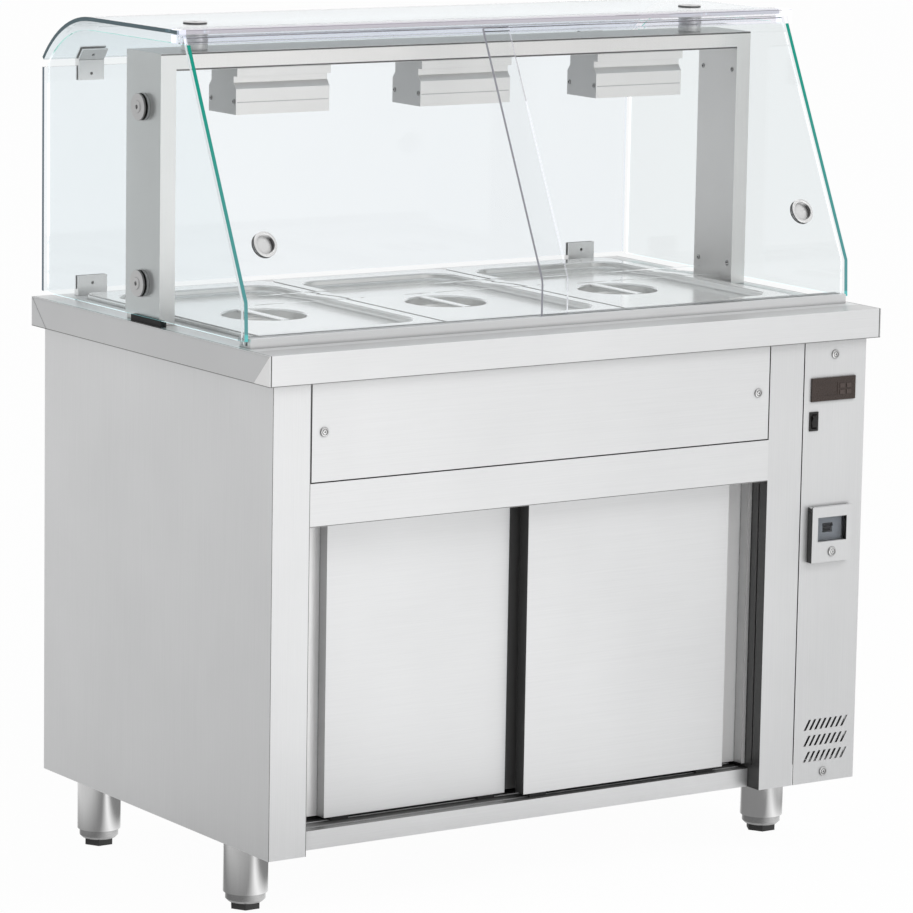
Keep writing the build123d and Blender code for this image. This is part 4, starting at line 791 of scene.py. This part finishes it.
class BAINMARIE_OT_glazing(bpy.types.Operator):
    """Clear glass with green cut edges, and the clear top rail"""
    bl_idname = "bainmarie.glazing"
    bl_label = "Glazing"

    def execute(self, context):
        look = context.scene.bain_marie_finishes
        glows = ((*LOW_EDGE, look.foot_glow), (*MET_EDGE, look.pale_glow))
        dress(glazed("glass_side", look.glass_side, look.glass_edge, False, look.edge_glow, glows),
              "left_side_glass", "right_side_glass")
        ends = ((*OUTER_END, look.pale_glow),)
        # Painted groove shade along the panes' upper edges
        crown = ((2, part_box("left_pane")[1].z - CROWN_INSET, CROWN_HALF, look.groove_shade),)
        dress(glazed("glass_pane", look.glass, look.glass_edge, True, look.pane_glow, ends, crown),
              "left_pane", "right_pane")
        dress(glazed("glass_rear", look.glass_rear, look.glass_edge, True, look.rear_glow), "rear_glass")
        lip = (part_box("top_glass")[0].y + SOFT, look.lip_glow)
        dress(glazed("glass_roof", look.glass_roof, look.roof_edge, True, look.roof_glow, lip=lip),
              "top_glass")
        # Painted groove shade along the clear rail's upper edge
        brim = ((2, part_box("top_rail")[1].z - BRIM_HALF, BRIM_HALF, look.groove_shade),)
        dress(glazed("rail_clear", look.rail, look.rail, True, look.rail_glow, lines=brim, ior=RAIL_IOR),
              "top_rail")
        return {"FINISHED"}


class BAINMARIE_OT_legs(bpy.types.Operator):
    """Polished leg tubes and adjustable feet with dark hexagons"""
    bl_idname = "bainmarie.legs"
    bl_label = "Legs"

    def execute(self, context):
        look = context.scene.bain_marie_finishes
        dress(brushed("polished_legs", look.polish, ALONG_Z), "leg_tubes")
        material, tree, shader, place = new_material("polished_feet", Metallic=1.0)
        grain = use_group(tree, brushed_group, Vector=place["Object"], Stretch=ALONG_X).outputs["Streak"]
        upper = spread(tree, axes(tree, place["Object"])[2], *FOOT_COLLAR)
        bright = mixed(tree, grain, *[scaled(look.polish, part) for part in COLLAR_SHADES])
        plug(tree, shader, "Base Color", mixed(tree, upper, solid(look.foot), bright))
        gloss = spread(tree, upper, 0.0, 1.0, ROUGHNESS["foot_hexagon"], ROUGHNESS["foot_collar"])
        plug(tree, shader, "Roughness", gloss)
        bumped(tree, shader, grain, GRAIN_DEPTH, COLLAR_GRAIN)
        dress(material, *[f"foot_{name}" for name in FEET])
        return {"FINISHED"}


class BAINMARIE_OT_controls(bpy.types.Operator):
    """Controller, keys, rocker, hatch window and breaker"""
    bl_idname = "bainmarie.controls"
    bl_label = "Controls"

    def execute(self, context):
        look = context.scene.bain_marie_finishes
        dress(moulded("controller_front", look.controller), "controller")
        dress(moulded("soft_keys", look.key), *[f"key_{name}" for name in KEYS])
        dress(moulded("black_plastic", look.black), "rocker_housing", "rocker", "breaker_toggle",
              "cable_gland")
        dress(moulded("grey_moulding", look.moulding), "breaker")
        dress(glazed("hatch_window_tint", look.window, look.window, True), "hatch_window")
        return {"FINISHED"}


class BAINMARIE_OT_lamps(bpy.types.Operator):
    """Satin lamp housings, darker end plates and frosted tubes"""
    bl_idname = "bainmarie.lamps"
    bl_label = "Heat Lamps"

    def execute(self, context):
        look = context.scene.bain_marie_finishes
        at = context.scene.bain_marie_fittings
        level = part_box("lamp_housings")[0].z + at.lamp_screw_rise - LAMP_LINE_DROP
        lines = ((2, level, LAMP_LINE_HALF, look.lamp_line),)
        dress(brushed("lamp_satin", look.lamp, ALONG_X, lines=lines), "lamp_housings")
        dress(brushed("lamp_ends", look.lamp, ALONG_X, side=look.lamp_end), "lamp_end_plates")
        dress(moulded("quartz", look.quartz, relief=QUARTZ_GRAIN), "lamp_tubes")
        return {"FINISHED"}


class BAINMARIE_OT_hidden_works(bpy.types.Operator):
    """Heater, drain valve and door glides"""
    bl_idname = "bainmarie.hidden_works"
    bl_label = "Hidden Works"

    def execute(self, context):
        look = context.scene.bain_marie_finishes
        dress(brushed("heater_sheath", look.sheath, ALONG_X), "heating_element")
        dress(brushed("cast_brass", look.brass, CAST), "drain_valve")
        # Glides painted near black, as the shade under the doors
        dress(moulded("nylon", look.nylon), "left_door_glides", "right_door_glides")
        return {"FINISHED"}


class BAINMARIE_OT_lids(bpy.types.Operator):
    """Pressed lids with a sunk panel, a round grip dish and a bridge bar"""
    bl_idname = "bainmarie.lids"
    bl_label = "Lids"

    def execute(self, context):
        form = context.scene.bain_marie_pressings
        look = context.scene.bain_marie_finishes
        metal = brushed("pressed_lids", look.pressed, ALONG_Y, contrast=LID_GRAIN, metal=look.steel_metal,
                        relief=LID_GRAIN)
        for name in ROWS:
            low, high = (np.array(corner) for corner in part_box(f"lid_{name}"))
            centre = (low + high) / 2
            half_x, half_y = (high - low)[:2] / 2
            top = high[2]
            floor = top - form.recess
            dish = (form.dish_radius,) * 3
            inner = (form.dish_radius * DISH_CORE,) * 3
            panel = (half_x - form.border, half_y - form.border_end, form.panel_corner)
            stations = np.array([
                (*inner, floor - form.dish_depth),
                (*dish, floor - form.dish_depth),
                (*dish, floor),
                (*panel, floor),
                (*[size + form.sheet for size in panel], top),
                (half_x - form.sheet / 2, half_y - form.sheet / 2, form.lid_corner - form.sheet / 2, top),
            ])
            phi = ring_angles(math.atan2(half_y, half_x))
            shell = pressed_rings(centre, filleted(stations, LID_FILLETS), form.sheet, phi)
            reach = form.dish_radius + form.sheet / 2
            bar_z = floor - form.bridge_height / 2
            start, end = ((centre[0], centre[1] + side * reach, bar_z) for side in (-1, 1))
            bridge = bar_rings(start, end, form.bridge_width / 2, form.bridge_height / 2,
                               form.bridge_height * BRIDGE_ROUND)
            add_piece(f"pressed_lid_{name}", [shell, bridge], metal,
                      f"lid_{name}", "stainless_steel", f"lid_{name}")
        return {"FINISHED"}


class BAINMARIE_OT_pans(bpy.types.Operator):
    """Pressed pans with turned-down rims and rounded floors"""
    bl_idname = "bainmarie.pans"
    bl_label = "Pans"

    def execute(self, context):
        form = context.scene.bain_marie_pressings
        look = context.scene.bain_marie_finishes
        metal = brushed("pressed_pans", look.pressed, ALONG_X)
        for name in ROWS:
            low, high = (np.array(corner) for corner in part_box(f"pan_{name}"))
            centre = (low + high) / 2
            outer = np.array([*(high - low)[:2] / 2, form.rim_corner])
            top = high[2]
            floor = low[2] + form.sheet
            brim = form.rim + form.sheet
            mouth = np.array([outer[0] - brim, outer[1] - brim, form.pan_corner])
            base = mouth - (top - floor) * math.tan(form.pan_taper)
            stations = np.array([
                (*(base * PAN_CORE), floor),
                (*base, floor),
                (*mouth, top),
                (*outer, top),
                (*outer, top - form.rim_height),
            ])
            phi = ring_angles(math.atan2(outer[1], outer[0]))
            shell = pressed_rings(centre, filleted(stations, PAN_FILLETS), form.sheet, phi)
            add_piece(f"pressed_pan_{name}", [shell], metal, f"pan_{name}", "stainless_steel", f"pan_{name}")
        return {"FINISHED"}


class BAINMARIE_OT_screws(bpy.types.Operator):
    """Ringed panel screws and small socket screws"""
    bl_idname = "bainmarie.screws"
    bl_label = "Screws"

    def execute(self, context):
        at = context.scene.bain_marie_fittings
        look = context.scene.bain_marie_finishes
        large = turned_rings(PANEL_SCREW)
        small = turned_rings(SOCKET_SCREW, count=24, flats=2)
        low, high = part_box("access_panel")
        level = (low.z + high.z) / 2
        spots = [(low.x + at.access_inset, level), (high.x - at.access_inset, level)]
        base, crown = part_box("control_panel")
        spots += [(at.control_x, crown.z - at.control_top), (at.control_x, base.z + at.control_base)]
        heads = [placed(large, (x, low.y, z), (0, -1, 0)) for x, z in spots]
        foot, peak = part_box("canopy_frame")
        middle = (foot.y + peak.y) / 2
        for side in (-1, 1):
            for y in (middle - at.post_spread, middle + at.post_spread):
                for z in (foot.z + at.post_low, peak.z - at.post_drop):
                    heads.append(placed(small, (side * (peak.x - at.post_width), y, z), (-side, 0, 0)))
        under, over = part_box("lamp_tubes")
        tube_y = (under.y + over.y) / 2
        screw_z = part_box("lamp_housings")[0].z + at.lamp_screw_rise
        for lamp in (-1, 0, 1):
            for side in (-1, 1):
                for way in (-1, 1):
                    x = lamp * at.lamp_pitch + side * at.lamp_half
                    y = tube_y + way * at.lamp_screw_y
                    heads.append(placed(small, (x, y, screw_z), (side, 0, 0)))
        # Painted shade on the screws' walls that look to the left
        metal = brushed("turned_screws", look.turned, TURNED, walls=(look.grip,))
        add_piece("screw_heads", heads, metal, "cabinet", "bright_fittings", "screws")
        cap = turned_rings(HATCH_SCREW)
        low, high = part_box("hatch_door")
        spot = ((low.x + high.x) / 2, low.y + at.hatch_head, low.z + at.hatch_rise)
        add_piece("hatch_screw", [placed(cap, spot, (0, -1, 0))], metal, "hatch", "bright_fittings")
        return {"FINISHED"}


class BAINMARIE_OT_fittings(bpy.types.Operator):
    """Turned glass standoffs and finger cups"""
    bl_idname = "bainmarie.fittings"
    bl_label = "Glass Fittings"

    def execute(self, context):
        at = context.scene.bain_marie_fittings
        look = context.scene.bain_marie_finishes
        foot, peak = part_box("canopy_frame")
        glass_low, glass_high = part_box("right_side_glass")
        inner = glass_low.x - peak.x
        outer = glass_high.x - peak.x
        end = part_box("glass_standoffs")[1].x - peak.x
        cap = end - STUD_SCREW
        sheet_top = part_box("glass_standoffs")[1].z - ROOF_CAP
        rise = sheet_top - peak.z
        under = rise - (outer - inner)
        rim = ((0, peak.x + (outer + cap) / 2, (cap - outer) * RIM_SHARE, look.standoff_rim),
               (2, sheet_top, ROOF_RIM_HALF, look.standoff_rim),
               # Painted light: the roof standoffs' feet take the lamps' lighter colour
               (2, peak.z + under / 2, under / 2, look.lamp))
        satin = brushed("satin_standoffs", look.standoff, SATIN, lines=rim, metal=look.standoff_metal)
        stud = turned_rings([(0.020, 0.0), (0.020, inner), (0.005, inner), (0.005, outer), (0.0194, outer),
                             (0.020, outer + 0.0006), (0.020, cap - 0.0007), (0.0193, cap), (0.0092, cap),
                             (0.0088, end - 0.0004), (0.0084, end), (0.0034, end),
                             (0.0030, end - 0.0025)], flats=1)
        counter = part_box("counter_top")[1]
        middle = (foot.y + peak.y) / 2
        studs = []
        for side in (-1, 1):
            for z in (counter.z + at.standoff_low, peak.z - at.standoff_drop):
                studs.append(placed(stud, (side * peak.x, middle, z), (side, 0, 0)))
        pillar = turned_rings([(0.018, 0.0), (0.018, under), (0.005, under), (0.005, rise), (0.0175, rise),
                               (0.018, rise + 0.0005), (0.018, rise + 0.0014), (0.0174, rise + ROOF_CAP),
                               (0.004, rise + ROOF_CAP), (0.0035, rise - 0.001)], flats=1)
        for side in (-1, 1):
            studs.append(placed(pillar, (side * (counter.x - at.roof_inset), middle, peak.z), (0, 0, 1)))
        add_piece("standoffs", studs, satin, "cabinet", "bright_fittings", "glass_standoffs")
        metal = brushed("bright_cups", look.cup, SATIN, walls=(look.cup_wall,), metal=look.steel_metal)
        cup = turned_rings(FINGER_CUP)
        normal = (0.0, -math.cos(at.pane_slope), math.sin(at.pane_slope))
        for name in ("left", "right"):
            low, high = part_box(f"{name}_finger_cup")
            origin = (low + high) / 2 - Vector(normal) * CUP_SHIFT
            add_piece(f"turned_cup_{name}", [placed(cup, origin, normal)], metal, f"{name}_pane",
                      "bright_fittings", f"{name}_finger_cup")
        return {"FINISHED"}


class BAINMARIE_OT_stage(bpy.types.Operator):
    """Camera at the photograph's angle, a white floor, a soft studio and one large lamp"""
    bl_idname = "bainmarie.stage"
    bl_label = "Stage"

    def execute(self, context):
        scene = context.scene
        stage = scene.bain_marie_stage
        scene.view_settings.view_transform = "Standard"
        self.camera(scene, stage)
        self.world(scene, stage)
        self.floor(scene, stage)
        self.lamp(scene, stage)
        return {"FINISHED"}

    def camera(self, scene, stage):
        """Camera axes: forward from turn and tilt, right level, both then rolled."""
        right = Vector((math.cos(stage.turn), math.sin(stage.turn), 0))
        level = Vector((-right.y, right.x, 0))
        ahead = level * math.cos(stage.tilt) - Vector((0, 0, math.sin(stage.tilt)))
        down = ahead.cross(right)
        c, s = math.cos(stage.roll), math.sin(stage.roll)
        across = right * c + down * s
        up = right * s - down * c
        data = bpy.data.cameras.new("camera")
        data.lens = stage.lens
        data.sensor_width = SENSOR
        data.clip_end = CLIP_END
        camera = bpy.data.objects.new("camera", data)
        camera.matrix_world = Matrix((across, up, -ahead)).transposed().to_4x4()
        camera.location = stage.camera
        scene.collection.objects.link(camera)
        scene.camera = camera

    def world(self, scene, stage):
        """White where seen directly or through glass, the studio ring in reflections, else an even fill."""
        world = bpy.data.worlds.new("studio")
        world.use_nodes = True
        scene.world = world
        tree = world.node_tree
        back = tree.nodes["Background"]
        place = tree.nodes.new("ShaderNodeTexCoord").outputs
        ring = use_group(tree, sky_ring, Vector=place["Generated"]).outputs["Glow"]
        seen, reflected = ray_kinds(tree)
        height = axes(tree, place["Generated"])[2]
        band = mixed(tree, spread(tree, height, *BAND_RISE), ring, solid((stage.band,) * 3))
        dome = mixed(tree, spread(tree, height, *DOME_RISE), band, solid((stage.zenith,) * 3))
        lit = mixed(tree, reflected, solid((stage.fill,) * 3), dome)
        plug(tree, back, "Color", mixed(tree, seen, lit, solid(WHITE)))

    def floor(self, scene, stage):
        """Flat disc in polar rings: backdrop white with a faint shadow to the eye. Reflections show two
        bright strips near the legs, between dark floor, and the floor ring farther out."""
        radius = np.array([*FLOOR_RINGS, stage.floor_radius])
        phi = np.linspace(0, 2 * np.pi, FLOOR_STEPS, endpoint=False)
        rings = np.stack([radius[:, None] * np.cos(phi), radius[:, None] * np.sin(phi),
                          np.zeros((len(radius), len(phi)))], axis=2)
        mesh = bpy.data.meshes.new("floor")
        mesh.from_pydata(rings.reshape(-1, 3).tolist(), [], ring_faces(rings, 0)[:-1])
        mesh.flip_normals()
        floor = bpy.data.objects.new("floor", mesh)
        scene.collection.objects.link(floor)
        material, tree, shader, place = new_material("floor_white", Base_Color=solid((FLOOR_TONE,) * 3),
                                                     Roughness=FLOOR_ROUGHNESS, Specular_IOR_Level=0.0)
        ring = use_group(tree, floor_ring, Vector=place["Object"]).outputs["Glow"]
        away = node(tree, "ShaderNodeVectorMath", operation="LENGTH", i0=place["Object"]).outputs["Value"]
        gain = spread(tree, away, stage.contact, FLOOR_FAR, *FLOOR_LEVELS)
        far = math_node(tree, "MULTIPLY", ring, gain)
        x = axes(tree, place["Object"])[0]
        aside = math_node(tree, "ABSOLUTE", math_node(tree, "SUBTRACT", x, stage.strip_middle))
        off = math_node(tree, "ABSOLUTE", math_node(tree, "SUBTRACT", aside, stage.strip_spread))
        strip = spread(tree, off, STRIP_CORE, stage.strip_half, *STRIP_LEVELS)
        fade = spread(tree, away, *[stage.contact * part for part in CONTACT_FADE])
        level = mixed(tree, fade, strip, far)
        seen, reflected = ray_kinds(tree)
        tone = mixed(tree, reflected, solid(WHITE), level)
        glow = node(tree, "ShaderNodeEmission", Color=tone).outputs[0]
        part = math_node(tree, "MAXIMUM", math_node(tree, "MULTIPLY", seen, stage.floor_white), reflected)
        mix = node(tree, "ShaderNodeMixShader", i0=part, i1=shader.outputs[0], i2=glow)
        tree.links.new(mix.outputs[0], tree.nodes["Material Output"].inputs["Surface"])
        mesh.materials.append(material)

    def lamp(self, scene, stage):
        """Large soft lamp high to the front right."""
        data = bpy.data.lights.new("key", "AREA")
        data.shape = "RECTANGLE"
        data.size, data.size_y = LAMP_SIZE
        data.energy = stage.key_power
        lamp = bpy.data.objects.new("key", data)
        lamp.location = LAMP_PLACE
        lamp.rotation_mode = "QUATERNION"
        lamp.rotation_quaternion = (Vector(LAMP_AIM) - Vector(LAMP_PLACE)).to_track_quat("-Z", "Y")
        lamp.visible_glossy = False
        lamp.visible_transmission = False
        scene.collection.objects.link(lamp)


def ray_kinds(tree):
    """Two masks: seen by the eye or through glass, and seen in a reflection, also one behind glass."""
    path = tree.nodes.new("ShaderNodeLightPath")
    bounced = math_node(tree, "GREATER_THAN", path.outputs["Glossy Depth"], ONE_BOUNCE)
    sharp = math_node(tree, "SUBTRACT", 1.0, path.outputs["Is Diffuse Ray"])
    mirrored = math_node(tree, "MULTIPLY", bounced, sharp)
    direct = math_node(tree, "MAXIMUM", path.outputs["Is Camera Ray"], path.outputs["Is Transmission Ray"])
    return math_node(tree, "SUBTRACT", direct, math_node(tree, "MULTIPLY", direct, mirrored)), mirrored


class BAINMARIE_PT_panel(bpy.types.Panel):
    """Lists the dressing steps"""
    bl_idname = "BAINMARIE_PT_panel"
    bl_label = "Bain Marie"
    bl_space_type = "VIEW_3D"
    bl_region_type = "UI"
    bl_category = "Bain Marie"

    def draw(self, context):
        for operator in OPERATORS:
            self.layout.operator(operator.bl_idname)


OPERATORS = (BAINMARIE_OT_steelwork, BAINMARIE_OT_canopy_frame, BAINMARIE_OT_glazing, BAINMARIE_OT_legs,
             BAINMARIE_OT_controls, BAINMARIE_OT_lamps, BAINMARIE_OT_hidden_works, BAINMARIE_OT_lids,
             BAINMARIE_OT_pans, BAINMARIE_OT_screws, BAINMARIE_OT_fittings, BAINMARIE_OT_stage)
GROUPS = {"bain_marie_finishes": BainMarieFinishes, "bain_marie_pressings": BainMariePressings,
          "bain_marie_fittings": BainMarieFittings, "bain_marie_stage": BainMarieStage}


def register():
    for cls in (*GROUPS.values(), *OPERATORS, BAINMARIE_PT_panel):
        bpy.utils.register_class(cls)
    for name, group in GROUPS.items():
        setattr(bpy.types.Scene, name, PointerProperty(type=group))


def unregister():
    for name in GROUPS:
        delattr(bpy.types.Scene, name)
    for cls in (BAINMARIE_PT_panel, *reversed(OPERATORS), *GROUPS.values()):
        bpy.utils.unregister_class(cls)


def main():
    register()
    bpy.ops.bainmarie.steelwork()
    bpy.ops.bainmarie.canopy_frame()
    bpy.ops.bainmarie.glazing()
    bpy.ops.bainmarie.legs()
    bpy.ops.bainmarie.controls()
    bpy.ops.bainmarie.lamps()
    bpy.ops.bainmarie.hidden_works()
    bpy.ops.bainmarie.lids()
    bpy.ops.bainmarie.pans()
    bpy.ops.bainmarie.screws()
    bpy.ops.bainmarie.fittings()
    bpy.ops.bainmarie.stage()


if __name__ == "__main__":
    main()
